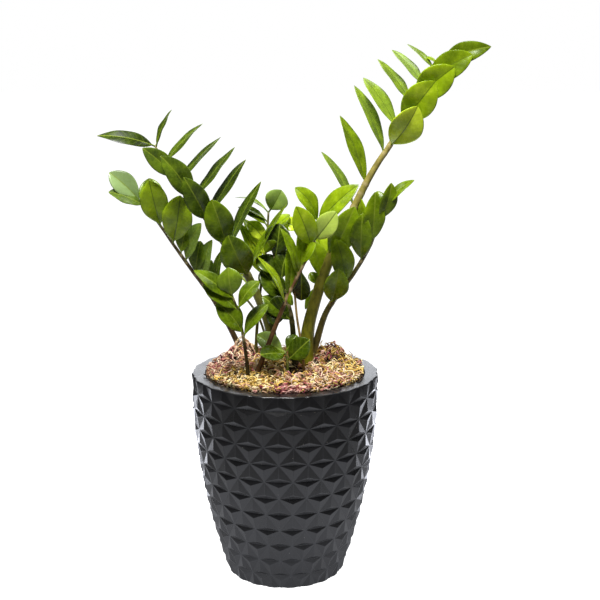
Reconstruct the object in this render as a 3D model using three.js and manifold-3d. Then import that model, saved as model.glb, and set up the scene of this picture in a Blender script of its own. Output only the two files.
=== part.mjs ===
// A potted ZZ plant: ten fronds and two dried stalks in a round pot with raised triangular facets.
// Millimetres, +Z up, origin at the middle of the pot's flat base. The viewer stands on the -Y side.
import * as THREE from 'three';
import { mergeVertices } from 'three/addons/utils/BufferGeometryUtils.js';
import Module from 'manifold-3d';

const wasm = await Module();
wasm.setup();

// ---- driving dimensions -------------------------------------------------------------------
const POT_HEIGHT = 292;
const LATTICE_RADIUS = 130;      // valley lines of the relief, at the rim
const TAPER_START = 40;          // below the rim the wall is upright this far, then draws in
const TAPER_RATE = 0.00322;
const TAPER_POWER = 1.738;
const COLUMNS = 20;              // triangles round the pot, of each way up
const ROWS = 12;
const ROW_PITCH = 25;
const TOP_LINE = POT_HEIGHT + 5; // the rim cuts the top row 5 mm below its lattice line
const LATTICE_TURN = -0.0588;    // radians that the lattice is turned from the front
const FACET_RISE = 4.5;          // how far a peak stands out of its triangle
const PEAK_SHARE = 0.28;         // height of the peak in its triangle, from the level edge
const RIM_INNER_RADIUS = 112;
const WALL = 17;                 // from the valley lines to the inside, below the rim
const FLOOR = 16;
const INSIDE_BENDS = [60, 110, 170, 230]; // heights where the inside changes slope
const POT_SEGMENTS = 48;
const FIT_GAP = 0.3;             // between pieces that touch

const SOIL_TOP = 262;
const FILL_SEGMENTS = 32;        // round the soil and the moss
const MOSS_RINGS = [111.7, 103, 91, 77, 60, 42, 24];
const MOSS_EDGE_TOP = 288;       // 4 mm below the rim
const MOSS_BAND = 26;            // the moss rises from its edge over this width
const MOSS_RISE = 2.5;
const MOSS_LUMP = 1.4;
const MOSS_HEAPS = [
  // x, y, height, spread
  [-68, 60, 19, 26],
  [72, 52, 12, 34],
  [-5, 32, 12, 46],
  [-70, -25, 4, 34],
  [20, -6, -5, 16],
];

const ROOT_BOTTOM = 226;         // stems reach this deep into the soil
const HOLE_GAP = 0.4;
const TAPER = 0.75;              // stems thin quickly above their swollen foot
const STEM_STEP = 24;            // length between the rings of a stem
const STOUT = 9;                 // stems thicker than this get two more sides

const BLADE = 1.2;               // thickness of a leaflet
const STALK_LENGTH = 5;          // short stalk of a leaflet
const STALK_WIDTH = 2.6;
const STALK_THICKNESS = 2.4;
const TIP_WIDTH = 1.4;
const FOLD = 0.2;                // rise of a leaflet's edges over its midrib, per mm of half width
const BASE_POWER = 0.8;          // outline of a leaflet: how full it is towards the stalk
const TIP_POWER = 0.72;          // and towards the tip
const BLADE_STATIONS = [0, 0.13, 0.38, 0.66, 0.86, 1];

// ---- finishes -----------------------------------------------------------------------------
function finish(color, roughness) {
  return new THREE.MeshStandardMaterial({ color, roughness, metalness: 0 });
}
const fibreClay = finish('#29292d', 0.62);
const pottingSoil = finish('#2e2118', 0.95);
const mossFibre = finish('#b98f5c', 0.95);
const youngLeaf = finish('#6f9c1f', 0.4);
const oldLeaf = finish('#3f6117', 0.35);
const driedStalk = finish('#a98a55', 0.8);

// ---- solids -------------------------------------------------------------------------------
function toSolid(geometry) {
  const plain = geometry.clone();
  plain.deleteAttribute('normal');
  plain.deleteAttribute('uv');
  const merged = mergeVertices(plain, 1e-4);
  return new wasm.Manifold(new wasm.Mesh({
    numProp: 3,
    vertProperties: new Float32Array(merged.attributes.position.array),
    triVerts: new Uint32Array(merged.index.array),
  }));
}

function toMesh(name, solid, material) {
  const { vertProperties, triVerts } = solid.getMesh();
  const geometry = new THREE.BufferGeometry();
  geometry.setAttribute('position', new THREE.BufferAttribute(new Float32Array(vertProperties), 3));
  geometry.setIndex(new THREE.BufferAttribute(new Uint32Array(triVerts), 1));
  geometry.computeVertexNormals();
  const mesh = new THREE.Mesh(geometry, material);
  mesh.name = name;
  return mesh;
}

function join(solids) {
  return solids.reduce((whole, next) => whole.add(next));
}

// A turned body about Z from [radius, height] points that start and end on the axis.
function turned(profile, segments) {
  const points = profile.map(([radius, height]) => new THREE.Vector2(radius, height));
  return new THREE.LatheGeometry(points, segments).rotateX(Math.PI / 2);
}

// ---- pot ----------------------------------------------------------------------------------
function latticeRadius(z) {
  const drop = Math.max(0, POT_HEIGHT - z - TAPER_START);
  return LATTICE_RADIUS - TAPER_RATE * drop ** TAPER_POWER;
}

function latticePoint(column, line) {
  const z = TOP_LINE - ROW_PITCH * line;
  const angle = LATTICE_TURN + ((column + (line % 2) / 2) * 2 * Math.PI) / COLUMNS;
  const radius = latticeRadius(z);
  return new THREE.Vector3(radius * Math.sin(angle), -radius * Math.cos(angle), z);
}

// Three facets that rise from a lattice triangle to a peak. The first corner is the one off the
// triangle's level edge.
function facets(tip, b, c) {
  const normal = new THREE.Vector3().crossVectors(b.clone().sub(tip), c.clone().sub(tip)).normalize();
  const peak = b.clone().lerp(c, 0.5).lerp(tip, PEAK_SHARE).addScaledVector(normal, FACET_RISE);
  return [tip, b, peak, b, c, peak, c, tip, peak];
}

function reliefBody() {
  const corners = [];
  for (let row = 0; row < ROWS; row += 1) {
    const shift = row % 2;
    for (let column = 0; column < COLUMNS; column += 1) {
      const upperLeft = latticePoint(column, row);
      const upperRight = latticePoint(column + 1, row);
      const lowerLeft = latticePoint(column, row + 1);
      const lowerRight = latticePoint(column + 1, row + 1);
      corners.push(...facets(latticePoint(column + shift, row + 1), upperRight, upperLeft));
      corners.push(...facets(latticePoint(column + 1 - shift, row), lowerLeft, lowerRight));
    }
  }
  const top = new THREE.Vector3(0, 0, TOP_LINE);
  const bottom = new THREE.Vector3(0, 0, TOP_LINE - ROW_PITCH * ROWS);
  for (let column = 0; column < COLUMNS; column += 1) {
    corners.push(top, latticePoint(column, 0), latticePoint(column + 1, 0));
    corners.push(bottom, latticePoint(column + 1, ROWS), latticePoint(column, ROWS));
  }
  return toSolid(new THREE.BufferGeometry().setFromPoints(corners));
}

function insideRadius(z) {
  return Math.min(RIM_INNER_RADIUS, latticeRadius(z) - WALL);
}

// [radius, height] points up the inside of the pot, drawn in by a gap.
function insideProfile(fromHeight, toHeight, gap) {
  const heights = [fromHeight, ...INSIDE_BENDS, toHeight];
  return heights.map((z) => [insideRadius(z) - gap, z]);
}

function potSolid() {
  const wide = 4 * LATTICE_RADIUS;
  const slab = new THREE.BoxGeometry(wide, wide, POT_HEIGHT).translate(0, 0, POT_HEIGHT / 2);
  const above = POT_HEIGHT + MOSS_BAND;
  const cavity = [
    [0, FLOOR],
    ...insideProfile(FLOOR, POT_HEIGHT, 0),
    [RIM_INNER_RADIUS, above],
    [0, above],
  ];
  return reliefBody().intersect(toSolid(slab)).subtract(toSolid(turned(cavity, POT_SEGMENTS)));
}

// ---- soil and moss ------------------------------------------------------------------------
function soilSolid() {
  const bottom = FLOOR + FIT_GAP;
  const profile = [[0, bottom], ...insideProfile(bottom, SOIL_TOP, FIT_GAP), [0, SOIL_TOP]];
  return toSolid(turned(profile, FILL_SEGMENTS));
}

// Height of the moss over the pot's base: level with the rim in front, heaped up at the back.
function mossHeight(x, y) {
  const edge = THREE.MathUtils.smoothstep(RIM_INNER_RADIUS - Math.hypot(x, y), 0, MOSS_BAND);
  let heaped = MOSS_RISE + MOSS_LUMP * Math.sin(x / 7) * Math.cos(y / 8 + x / 19);
  for (const [heapX, heapY, height, spread] of MOSS_HEAPS) {
    heaped += height * Math.exp(-((x - heapX) ** 2 + (y - heapY) ** 2) / spread ** 2);
  }
  return MOSS_EDGE_TOP + edge * heaped;
}

function mossSolid() {
  const bottom = SOIL_TOP + FIT_GAP;
  const profile = [
    [0, bottom],
    [MOSS_RINGS[0], bottom],
    ...MOSS_RINGS.map((radius) => [radius, MOSS_EDGE_TOP]),
    [0, MOSS_EDGE_TOP],
  ];
  const disc = turned(profile, FILL_SEGMENTS);
  const place = disc.attributes.position;
  for (let i = 0; i < place.count; i += 1) {
    if (place.getZ(i) > bottom + 1) {
      place.setZ(i, mossHeight(place.getX(i), place.getY(i)));
    }
  }
  return toSolid(disc);
}

// ---- fronds -------------------------------------------------------------------------------
// stem: points of the leaf stalk from the moss up. thick and thin: its diameters at the moss and
// at the tip. Each leaflet is
//   [along, lean, length, toward, width, turn, arch]
// along: mm along the stem from the moss. lean: degrees that the leaflet leans to the right of
// straight up, seen from the front. toward: mm that its tip comes nearer the viewer. turn:
// degrees that its upper face is turned from the viewer, to its own right. arch: mm that its
// midrib bulges over the straight line from stalk to tip.
const FRONDS = {
  right_tall_frond: {
    material: youngLeaf, thick: 21, thin: 4,
    stem: [[30, 17, 301], [32, 18, 345], [43, 20, 390], [61, 23, 443], [79, 26, 485], [99, 30, 525],
      [115, 33, 557], [131, 36, 584], [146, 38, 606], [176, 43, 664], [209, 46, 710], [216, 47, 720]],
    leaflets: [
      // low on the stalk
      [150, 24, 86, 12, 36, 0, 4], [253, 178, 38, 4, 20, 40, 3], [118, -14, 60, -8, 30, 40, 3],
      [109, -32, 26, -10, 14, 20, 2], [114, -150, 44, -6, 16, 60, 3],
      // far rank, seen on edge
      [232, -31, 91, -18, 30, 75, 4], [268, -21, 102, -14, 36, 58, 4], [317, -24, 104, -18, 36, 68, 4],
      [355, -34, 87, -14, 34, 58, 4], [396, -38, 78, -16, 32, 64, 3], [425, -42, 67, -14, 28, 62, 3],
      [451, -47, 54, -12, 22, 72, 3], [460, -56, 21, -6, 9, 60, 1],
      // near rank, seen on the flat
      [331, 31, 74, 42, 39, 8, 8], [366, 36, 80, 38, 38, 0, 8], [401, 48, 76, 34, 36, -15, 8],
      [430, 57, 76, 30, 32, -30, 9], [460, 70, 75, 22, 26, -45, 12],
    ],
  },
  left_tall_frond: {
    material: oldLeaf, thick: 18, thin: 3,
    stem: [[-20, 20, 302], [-21, 20, 345], [-37, 21, 391], [-62, 23, 441], [-83, 24, 467],
      [-108, 26, 501], [-128, 27, 530], [-147, 28, 556], [-168, 29, 584], [-180, 30, 607]],
    leaflets: [
      // near rank and the end leaflet
      [128, -19, 70, 36, 45, -2, 8], [180, -11, 75, 36, 42, 8, 8], [224, -24, 78, 32, 27, 12, 7],
      [261, -32, 80, 30, 30, 25, 7], [298, -44, 66, 26, 26, 25, 6], [350, -79, 81, 14, 26, 52, 6],
      // far rank, seen on edge
      [348, 23, 57, -10, 18, -68, 3], [323, 44, 77, -14, 24, -70, 3], [292, 44, 86, -18, 26, -73, 3],
      [258, 38, 96, -20, 28, -72, 3], [225, 33, 102, -20, 30, -70, 3], [175, 26, 106, -20, 30, -72, 3],
      [132, 30, 116, -27, 28, -73, 3],
    ],
  },
  left_low_frond: {
    material: oldLeaf, thick: 9, thin: 3,
    stem: [[-70, 65, 314], [-79, 64, 334], [-95, 62, 365], [-111, 60, 392], [-135, 55, 427],
      [-158, 50, 462], [-182, 43, 500], [-202, 38, 526]],
    leaflets: [
      // from the tip down
      [252, -44, 61, 10, 30, 20, 5], [245, -64, 56, 22, 26, 55, 6], [225, -6, 55, -6, 32, 12, 6],
      [208, -10, 73, 24, 36, 5, 6], [178, 12, 78, 26, 42, 4, 7], [158, 15, 45, 6, 24, -25, 4],
      [145, 23, 69, 24, 30, -50, 6], [122, 10, 51, 4, 26, -22, 4], [103, 13, 74, 20, 28, -55, 6],
      [91, 8, 47, 2, 20, -35, 4], [69, 8, 82, -6, 26, -68, 6],
    ],
  },
  front_left_frond: {
    material: oldLeaf, thick: 6, thin: 3,
    stem: [[-51, -45, 288], [-51, -46, 309], [-53, -48, 329], [-58, -52, 366], [-63, -55, 391],
      [-69, -57, 410]],
    leaflets: [
      [124, -8, 43, 6, 32, 6, 4], [121, -51, 65, 12, 24, 66, 6], [104, -50, 56, 10, 26, 60, 6],
      [69, -37, 58, 14, 30, 52, 6], [104, 36, 49, -4, 26, -68, 6], [64, 36, 56, -2, 24, -73, 7],
    ],
  },
  front_middle_frond: {
    material: youngLeaf, thick: 8, thin: 4,
    stem: [[-41, -28, 291], [-28, -28, 324], [-11, -26, 367], [2, -24, 399], [12, -22, 421],
      [24, -20, 445], [38, -17, 473], [45, -15, 503]],
    leaflets: [
      // the crown
      [231, -31, 61, 12, 30, 52, 8], [228, 44, 81, 14, 30, -38, 6], [197, -20, 67, 22, 30, 10, 6],
      [206, 35, 56, 20, 28, -10, 5],
      // down the stalk
      [151, -18, 74, 16, 22, 60, 7], [156, 2, 65, 6, 24, 40, 6], [120, 0, 72, 18, 22, 35, 6],
      [112, -28, 83, 26, 22, 76, 7], [165, 180, 52, -10, 24, 10, 3], [169, 27, 39, 10, 24, -65, 4],
      [132, 173, 22, 8, 12, 40, 2],
    ],
  },
  right_low_frond: {
    material: oldLeaf, thick: 12, thin: 3.5,
    stem: [[38, 38, 303], [44, 38, 322], [58, 33, 368], [76, 29, 398], [97, 24, 428], [120, 19, 470],
      [128, 17, 495], [138, 15, 521]],
    leaflets: [
      [85, 9, 64, 32, 34, 6, 5], [121, -13, 69, 26, 34, 10, 6], [161, 0, 70, 22, 34, -8, 6],
      [190, 2, 68, 16, 34, 12, 6], [223, 16, 58, 10, 24, 25, 5], [243, 46, 57, 2, 20, -62, 6],
      [228, -5, 38, -8, 22, 10, 4],
    ],
  },
  back_frond: {
    material: youngLeaf, thick: 5, thin: 3,
    stem: [[-43, 47, 307], [-42, 48, 332], [-40, 50, 357], [-37, 53, 390], [-32, 56, 426],
      [-27, 59, 462], [-24, 62, 510]],
    leaflets: [
      [204, 30, 38, 6, 32, 10, 4], [203, -66, 53, -4, 18, 80, 7], [189, -62, 49, 6, 20, 74, 6],
      [182, -53, 40, 10, 22, 66, 5], [157, -39, 44, 4, 26, 45, 5], [164, 42, 51, 8, 26, -50, 6],
      [138, -29, 64, -10, 24, 55, 6], [77, -42, 71, 2, 20, 74, 7],
    ],
  },
  middle_frond: {
    material: oldLeaf, thick: 10, thin: 4,
    stem: [[14, 9, 302], [12, 11, 334], [9, 13, 365], [4, 16, 386], [-3, 20, 412], [-17, 28, 460]],
    leaflets: [
      [152, 8, 50, 4, 36, -10, 6], [121, -51, 46, -6, 28, 40, 6], [117, 14, 47, -4, 28, -20, 6],
      [70, -75, 36, 4, 40, 15, 5], [96, -34, 35, 10, 20, 60, 4], [105, -59, 44, -14, 26, 20, 6],
      [163, -30, 24, 16, 20, 20, 4],
    ],
  },
  back_right_frond: {
    material: youngLeaf, thick: 6, thin: 3,
    stem: [[37, 52, 306], [41, 52, 351], [49, 53, 394], [54, 54, 427], [51, 55, 456], [38, 57, 476],
      [25, 58, 486]],
    leaflets: [
      [190, -68, 34, 0, 20, 30, 4], [180, 5, 32, 4, 18, -20, 4], [150, -29, 50, 0, 28, 30, 6],
      [135, 23, 54, 0, 30, -20, 5],
    ],
  },
  low_front_frond: {
    material: youngLeaf, thick: 4, thin: 3,
    stem: [[4, -14, 297], [3, -16, 313], [0, -18, 325]],
    leaflets: [
      [26, -58, 47, -8, 24, 20, 3], [25, -77, 50, 36, 24, 70, 3], [14, 43, 47, 12, 30, -25, 4],
      [26, 35, 30, -10, 18, -25, 3],
    ],
  },
  front_dry_stalk: {
    material: driedStalk, thick: 4, thin: 3,
    stem: [[27, -15, 291], [25, -14, 317], [21, -13, 346], [17, -12, 371], [13, -10, 415]],
    leaflets: [],
  },
  back_dry_stalk: {
    material: driedStalk, thick: 4, thin: 3,
    stem: [[-25, 36, 313], [-31, 36, 341], [-41, 36, 367], [-63, 36, 398]],
    leaflets: [],
  },
};

function stemCurve(points) {
  return new THREE.CatmullRomCurve3(points.map((point) => new THREE.Vector3(...point)));
}

// A cylinder bent along the curve, tapered, with a straight root down into the soil.
function stemSolid({ stem, thick, thin }, spare) {
  const curve = stemCurve(stem);
  const length = curve.getLength();
  const steps = Math.max(3, Math.round(length / STEM_STEP));
  const sides = thick > STOUT ? 8 : 6;
  const foot = curve.getPointAt(0);
  const centres = [new THREE.Vector3(foot.x, foot.y, ROOT_BOTTOM - spare)];
  for (let i = 0; i <= steps; i += 1) {
    centres.push(curve.getPointAt(i / steps));
  }
  const rings = centres.map((centre, i) => {
    const before = centres[Math.max(0, i - 1)];
    const after = centres[Math.min(centres.length - 1, i + 1)];
    const heading = after.clone().sub(before).normalize();
    const right = new THREE.Vector3(1, 0, 0).addScaledVector(heading, -heading.x).normalize();
    const share = Math.max(0, i - 1) / steps;
    const radius = THREE.MathUtils.lerp(thick, thin, share ** TAPER) / 2 + spare;
    return { centre, right, back: new THREE.Vector3().crossVectors(heading, right), radius };
  });
  const tube = new THREE.CylinderGeometry(1, 1, rings.length - 1, sides, rings.length - 1);
  const place = tube.attributes.position;
  for (let i = 0; i < place.count; i += 1) {
    const ring = rings[Math.round(place.getY(i) + (rings.length - 1) / 2)];
    const point = ring.centre.clone()
      .addScaledVector(ring.right, ring.radius * place.getX(i))
      .addScaledVector(ring.back, -ring.radius * place.getZ(i));
    place.setXYZ(i, point.x, point.y, point.z);
  }
  return toSolid(tube);
}

// Half width of a leaflet from its stalk (0) to its tip (1), as a share of its widest.
function outline(share) {
  const curve = (at) => at ** BASE_POWER * (1 - at) ** TIP_POWER;
  return curve(share) / curve(BASE_POWER / (BASE_POWER + TIP_POWER));
}

function leafletSolid(curve, [along, lean, length, toward, width, turn, arch]) {
  const start = curve.getPointAt(Math.min(1, along / curve.getLength()));
  const level = Math.sqrt(length * length - toward * toward);
  const leanAngle = THREE.MathUtils.degToRad(lean);
  const turnAngle = THREE.MathUtils.degToRad(turn);
  const axis = new THREE.Vector3(level * Math.sin(leanAngle), -toward, level * Math.cos(leanAngle))
    .normalize();
  const facing = new THREE.Vector3(0, -1, 0).addScaledVector(axis, axis.y).normalize();
  const normal = facing.clone().applyAxisAngle(axis, turnAngle);
  const side = new THREE.Vector3().crossVectors(axis, normal);
  const stalk = STALK_LENGTH / length;
  const shares = [0, ...BLADE_STATIONS.map((share) => stalk + (1 - stalk) * share)];
  const corners = [];
  for (const face of [1, -1]) {
    shares.forEach((share, i) => {
      const onStalk = i < 2;
      const last = i === shares.length - 1;
      const blade = (share - stalk) / (1 - stalk);
      let half = onStalk ? STALK_WIDTH / 2 : (width / 2) * outline(Math.min(blade, 1));
      half = last ? TIP_WIDTH / 2 : Math.max(half, STALK_WIDTH / 2);
      const thickness = onStalk ? STALK_THICKNESS : BLADE;
      const middle = start.clone().addScaledVector(axis, length * share)
        .addScaledVector(normal, 4 * arch * share * (1 - share) + (face * thickness) / 2);
      for (const across of [-1, 0, 1]) {
        corners.push(middle.clone().addScaledVector(side, across * half)
          .addScaledVector(normal, FOLD * Math.abs(across) * half));
      }
    });
  }
  return toSolid(closedBlade(corners, shares.length));
}

// Joins two sheets of points, each rows by three, into one closed blade. Both sheets are split
// along the same diagonals.
function closedBlade(corners, rows) {
  const across = 3;
  const under = rows * across;
  const index = [];
  const quad = (a, b, c, d) => index.push(a, b, c, a, c, d);
  for (let row = 0; row < rows - 1; row += 1) {
    for (let column = 0; column < across - 1; column += 1) {
      const a = row * across + column;
      quad(a, a + 1, a + across + 1, a + across);
      index.push(under + a, under + a + across + 1, under + a + 1);
      index.push(under + a, under + a + across, under + a + across + 1);
    }
    const left = row * across;
    const right = left + across - 1;
    quad(left, left + across, under + left + across, under + left);
    quad(right, under + right, under + right + across, right + across);
  }
  for (let column = 0; column < across - 1; column += 1) {
    const last = (rows - 1) * across + column;
    quad(column, under + column, under + column + 1, column + 1);
    quad(last, last + 1, under + last + 1, under + last);
  }
  const geometry = new THREE.BufferGeometry().setFromPoints(corners);
  geometry.setIndex(index);
  return geometry;
}

function frondSolid(frond) {
  const curve = stemCurve(frond.stem);
  const leaflets = frond.leaflets.map((row) => leafletSolid(curve, row));
  return join([stemSolid(frond, 0), ...leaflets]);
}

// ---- assembly -----------------------------------------------------------------------------
const stemHoles = join(Object.values(FRONDS).map((frond) => stemSolid(frond, HOLE_GAP)));

const plant = new THREE.Group();
plant.add(toMesh('pot', potSolid(), fibreClay));
plant.add(toMesh('soil', soilSolid().subtract(stemHoles), pottingSoil));
plant.add(toMesh('moss_mulch', mossSolid().subtract(stemHoles), mossFibre));
for (const [name, frond] of Object.entries(FRONDS)) {
  plant.add(toMesh(name, frondSolid(frond), frond.material));
}

export default plant;
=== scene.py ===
# %% [markdown]
# # A potted ZZ plant
# The imported CAD model is the frame: its nodes say where each thing is. This notebook dresses it
# piece by piece, with surfaces worked out with numpy. All sizes in the tables are millimetres, and
# a mesh gets metres only when it is made.

# %% Load the imported model
import math

import bmesh
import bpy
import numpy as np
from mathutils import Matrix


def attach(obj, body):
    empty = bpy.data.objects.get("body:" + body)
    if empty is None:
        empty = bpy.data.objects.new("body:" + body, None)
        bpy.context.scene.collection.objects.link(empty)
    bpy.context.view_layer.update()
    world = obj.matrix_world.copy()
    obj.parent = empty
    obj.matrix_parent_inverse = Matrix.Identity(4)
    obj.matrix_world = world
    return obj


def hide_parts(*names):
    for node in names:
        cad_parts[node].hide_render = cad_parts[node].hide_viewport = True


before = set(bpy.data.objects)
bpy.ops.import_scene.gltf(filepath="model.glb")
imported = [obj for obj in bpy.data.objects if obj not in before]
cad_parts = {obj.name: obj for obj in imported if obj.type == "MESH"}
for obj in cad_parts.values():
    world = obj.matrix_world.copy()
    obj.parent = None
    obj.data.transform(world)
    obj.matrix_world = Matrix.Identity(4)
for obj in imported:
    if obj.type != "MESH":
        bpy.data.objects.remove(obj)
scene = bpy.context.scene


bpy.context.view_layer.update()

# %% [markdown]
# ## Camera and light
# A camera can be placed by trying, or solved. This one was solved from the rim's ellipse, the base
# and the lattice of the pot: it stands 1.5 m away, 0.71 m up, and looks down 12 degrees. Most of the
# light comes from one large area light over the front, with a fainter one at each side and a very
# faint one above, because a big light gives broad, soft reflections on the leaves. A dark satin pot
# shows what stands round it more than the light that falls on it, so the studio is dark apart from
# a lit wall low behind the plant. The camera itself sees plain white, as in a catalogue picture.

# %% Camera
CAMERA_PLACE = (0.02107, -1.5032, 0.7135)
CAMERA_PITCH = 78.007
LENS = 66.0
SENSOR = 36.0

camera_data = bpy.data.cameras.new("camera")
camera_data.lens = LENS
camera_data.sensor_width = SENSOR
camera = bpy.data.objects.new("camera", camera_data)
camera.location = CAMERA_PLACE
camera.rotation_euler = (math.radians(CAMERA_PITCH), 0, 0)
scene.collection.objects.link(camera)
scene.camera = camera
scene.view_settings.view_transform = "Standard"
print("camera", LENS, "mm")


# %% A helper for colours and one for nodes
def to_linear(code):
    """An sRGB hex colour as linear RGBA: c / 12.92 up to 0.04045, above it ((c + 0.055) / 1.055) ^ 2.4."""
    parts = np.array([int(code[i : i + 2], 16) for i in (1, 3, 5)]) / 255
    linear = np.where(parts <= 0.04045, parts / 12.92, ((parts + 0.055) / 1.055) ** 2.4)
    return (*[float(value) for value in linear], 1.0)


def add_node(tree, kind, inputs=None, stops=None, **settings):
    """One node with its own settings, its sockets (a value is set, an output is linked) and, on a
    colour ramp, its stops as (place, hex colour)."""
    node = tree.nodes.new(kind)
    for name, value in settings.items():
        setattr(node, name, value)
    if stops:
        elements = node.color_ramp.elements
        while len(elements) < len(stops):
            elements.new(0.5)
        for element, (place, code) in zip(elements, stops):
            element.position = place
            element.color = to_linear(code)
    for name, value in (inputs or {}).items():
        if isinstance(value, bpy.types.NodeSocket):
            tree.links.new(value, node.inputs[name])
        else:
            node.inputs[name].default_value = value
    return node


def bare_material(name):
    """A new material, and its node tree emptied."""
    made = bpy.data.materials.new(name)
    made.use_nodes = True
    made.node_tree.nodes.clear()
    return made, made.node_tree


MM_IN_METRE = 1000


def per_metre(size):
    """Scale of a texture on Object coordinates whose features are this many millimetres."""
    return MM_IN_METRE / size


# %% Surroundings: plain white to the camera, mostly dark in reflections
# A ray's direction has length 1, with Y away from the camera and Z up.
WALL_SIDES = (0.9, 0.945)    # Y at which the lit wall begins, and at which it is full
WALL_TOP = (0.3, 0.45)       # Z at which it begins to fade, and at which it ends
WALL_GLOW = 3.0
STUDIO_GLOW = 0.08
STUDIO_TINT = "#f6f9ff"
WHITE = (1, 1, 1, 1)

world = bpy.data.worlds.new("white_studio")
scene.world = world
world.use_nodes = True
tree = world.node_tree
tree.nodes.clear()
seen = add_node(tree, "ShaderNodeLightPath")
place = add_node(tree, "ShaderNodeTexCoord")
split = add_node(tree, "ShaderNodeSeparateXYZ", {0: place.outputs["Generated"]})
# the lit wall behind the plant is bright, and the rest of the studio is dark
wall = add_node(tree, "ShaderNodeMapRange",
                {"Value": split.outputs["Y"], "From Min": WALL_SIDES[0], "From Max": WALL_SIDES[1],
                 "To Min": 0.0, "To Max": WALL_GLOW})
low = add_node(tree, "ShaderNodeMapRange",
               {"Value": split.outputs["Z"], "From Min": WALL_TOP[0], "From Max": WALL_TOP[1],
                "To Min": 1.0, "To Max": 0.0})
glow = add_node(tree, "ShaderNodeMath", {0: wall.outputs[0], 1: low.outputs[0], 2: STUDIO_GLOW},
                operation="MULTIPLY_ADD")
studio = add_node(tree, "ShaderNodeBackground",
                  {"Color": to_linear(STUDIO_TINT), "Strength": glow.outputs[0]})
backdrop = add_node(tree, "ShaderNodeBackground", {"Color": WHITE, "Strength": 1.0})
mixed = add_node(tree, "ShaderNodeMixShader",
                 {0: seen.outputs["Is Camera Ray"], 1: studio.outputs[0], 2: backdrop.outputs[0]})
add_node(tree, "ShaderNodeOutputWorld", {"Surface": mixed.outputs[0]})
print("world", world.name)

# %% Softboxes
SOFTBOXES = [
    # name, place in metres, width in metres, watts, spread of its grid in degrees
    ("top", (0.1, -0.25, 3.8), 1.4, 1.0, 30),
    ("front", (-0.3, -1.3, 3.2), 1.0, 146, 180),
    ("left", (-1.5, 0.8, 2.6), 1.0, 13, 180),
    ("right", (1.5, 0.8, 2.6), 1.0, 13, 180),
]
AIMED_AT = (0.0, 0.0, 0.40)

for name, spot, width, watts, spread in SOFTBOXES:
    data = bpy.data.lights.new("softbox_" + name, "AREA")
    data.shape = "SQUARE"
    data.size = width
    data.energy = watts
    data.spread = math.radians(spread)
    softbox = bpy.data.objects.new(data.name, data)
    softbox.location = spot
    away = np.subtract(spot, AIMED_AT)
    level = math.hypot(away[0], away[1])
    softbox.rotation_euler = (math.atan2(level, away[2]), 0, math.atan2(away[1], away[0]) + math.pi / 2)
    scene.collection.objects.link(softbox)
print("softboxes", len(SOFTBOXES))

# %% [markdown]
# ## Meshes from arrays
# A pot, a leaflet, a stalk and a strand of moss are all a ring of points carried along a path. If
# every ring has the same number of points, one function can join them all, closed at both ends
# with a fan. Arrays make that fast, so thousands of strands cost no loop.


# %% From arrays to a piece of the plant
def make_piece(name, points, faces, node, finish, marks=None):
    """Puts points (n x 3, mm) and a list of face arrays (m x 3 or m x 4) into a smooth mesh in
    metres. marks are values per point that a material reads by name."""
    mesh = bpy.data.meshes.new(name)
    mesh.vertices.add(len(points))
    mesh.vertices.foreach_set("co", (points / MM_IN_METRE).astype(np.float32).ravel())
    corners = np.concatenate([part.ravel() for part in faces]).astype(np.int32)
    counts = np.concatenate([np.full(len(part), part.shape[1]) for part in faces])
    starts = np.concatenate([[0], np.cumsum(counts)[:-1]]).astype(np.int32)
    mesh.loops.add(len(corners))
    mesh.loops.foreach_set("vertex_index", corners)
    mesh.polygons.add(len(starts))
    mesh.polygons.foreach_set("loop_start", starts)
    mesh.polygons.foreach_set("use_smooth", np.ones(len(starts), bool))
    mesh.update(calc_edges=True)
    mesh.validate()
    for mark, values in (marks or {}).items():
        layer = mesh.attributes.new(mark, "FLOAT", "POINT")
        layer.data.foreach_set("value", np.asarray(values, np.float32).ravel())
    mesh.materials.append(finish)
    piece = bpy.data.objects.new(name, mesh)
    scene.collection.objects.link(piece)
    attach(piece, "root")
    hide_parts(node)
    print(name, len(points), "points", int((counts - 2).sum()), "triangles")


def closed_tubes(rings, starts, ends):
    """Points and faces of tubes. rings is tubes x rows x around x 3, with the points of a ring
    anticlockwise seen from the tube's end. starts and ends are the points that close each tube."""
    tubes, rows, around = rings.shape[:3]
    points = np.concatenate([rings.reshape(tubes, -1, 3), starts[:, None], ends[:, None]], axis=1)
    row, place = np.meshgrid(np.arange(rows - 1), np.arange(around), indexing="ij")
    beside = (place + 1) % around
    side = np.stack([row * around + place, row * around + beside,
                     (row + 1) * around + beside, (row + 1) * around + place], axis=-1).reshape(-1, 4)
    turn = np.arange(around)
    following = (turn + 1) % around
    last = (rows - 1) * around
    first_fan = np.stack([following, turn, np.full(around, rows * around)], axis=-1)
    last_fan = np.stack([last + turn, last + following, np.full(around, rows * around + 1)], axis=-1)
    steps = (np.arange(tubes) * (rows * around + 2))[:, None, None]
    quads = (side[None] + steps).reshape(-1, 4)
    fans = (np.concatenate([first_fan, last_fan])[None] + steps).reshape(-1, 3)
    return points.reshape(-1, 3), [quads, fans]


def on_tubes(values, shape):
    """A value per tube and row, spread round the ring and repeated at the two closing points."""
    tubes, rows, around = shape
    spread = np.broadcast_to(values, (tubes, rows, around)).reshape(tubes, -1)
    return np.concatenate([spread, spread[:, :1], spread[:, -1:]], axis=1).ravel()


def smoothstep(value, low, high):
    """0 below low, 1 above high, and t * t * (3 - 2 t) between them."""
    share = np.clip((value - low) / (high - low), 0, 1)
    return share * share * (3 - 2 * share)


# %% [markdown]
# ## The pot
# The real pot is cast from fibre clay in a mould with raised triangular facets. The relief could be
# a bump map, but its facets catch light and show at the sides, so they are real faces. Each
# triangle of a lattice gets a peak and three facets. A cast has no knife edges: every facet is
# drawn in a little from its edges, and the narrow strips left between facets are shaded smooth,
# which reads as a softly rounded ridge.

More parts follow.
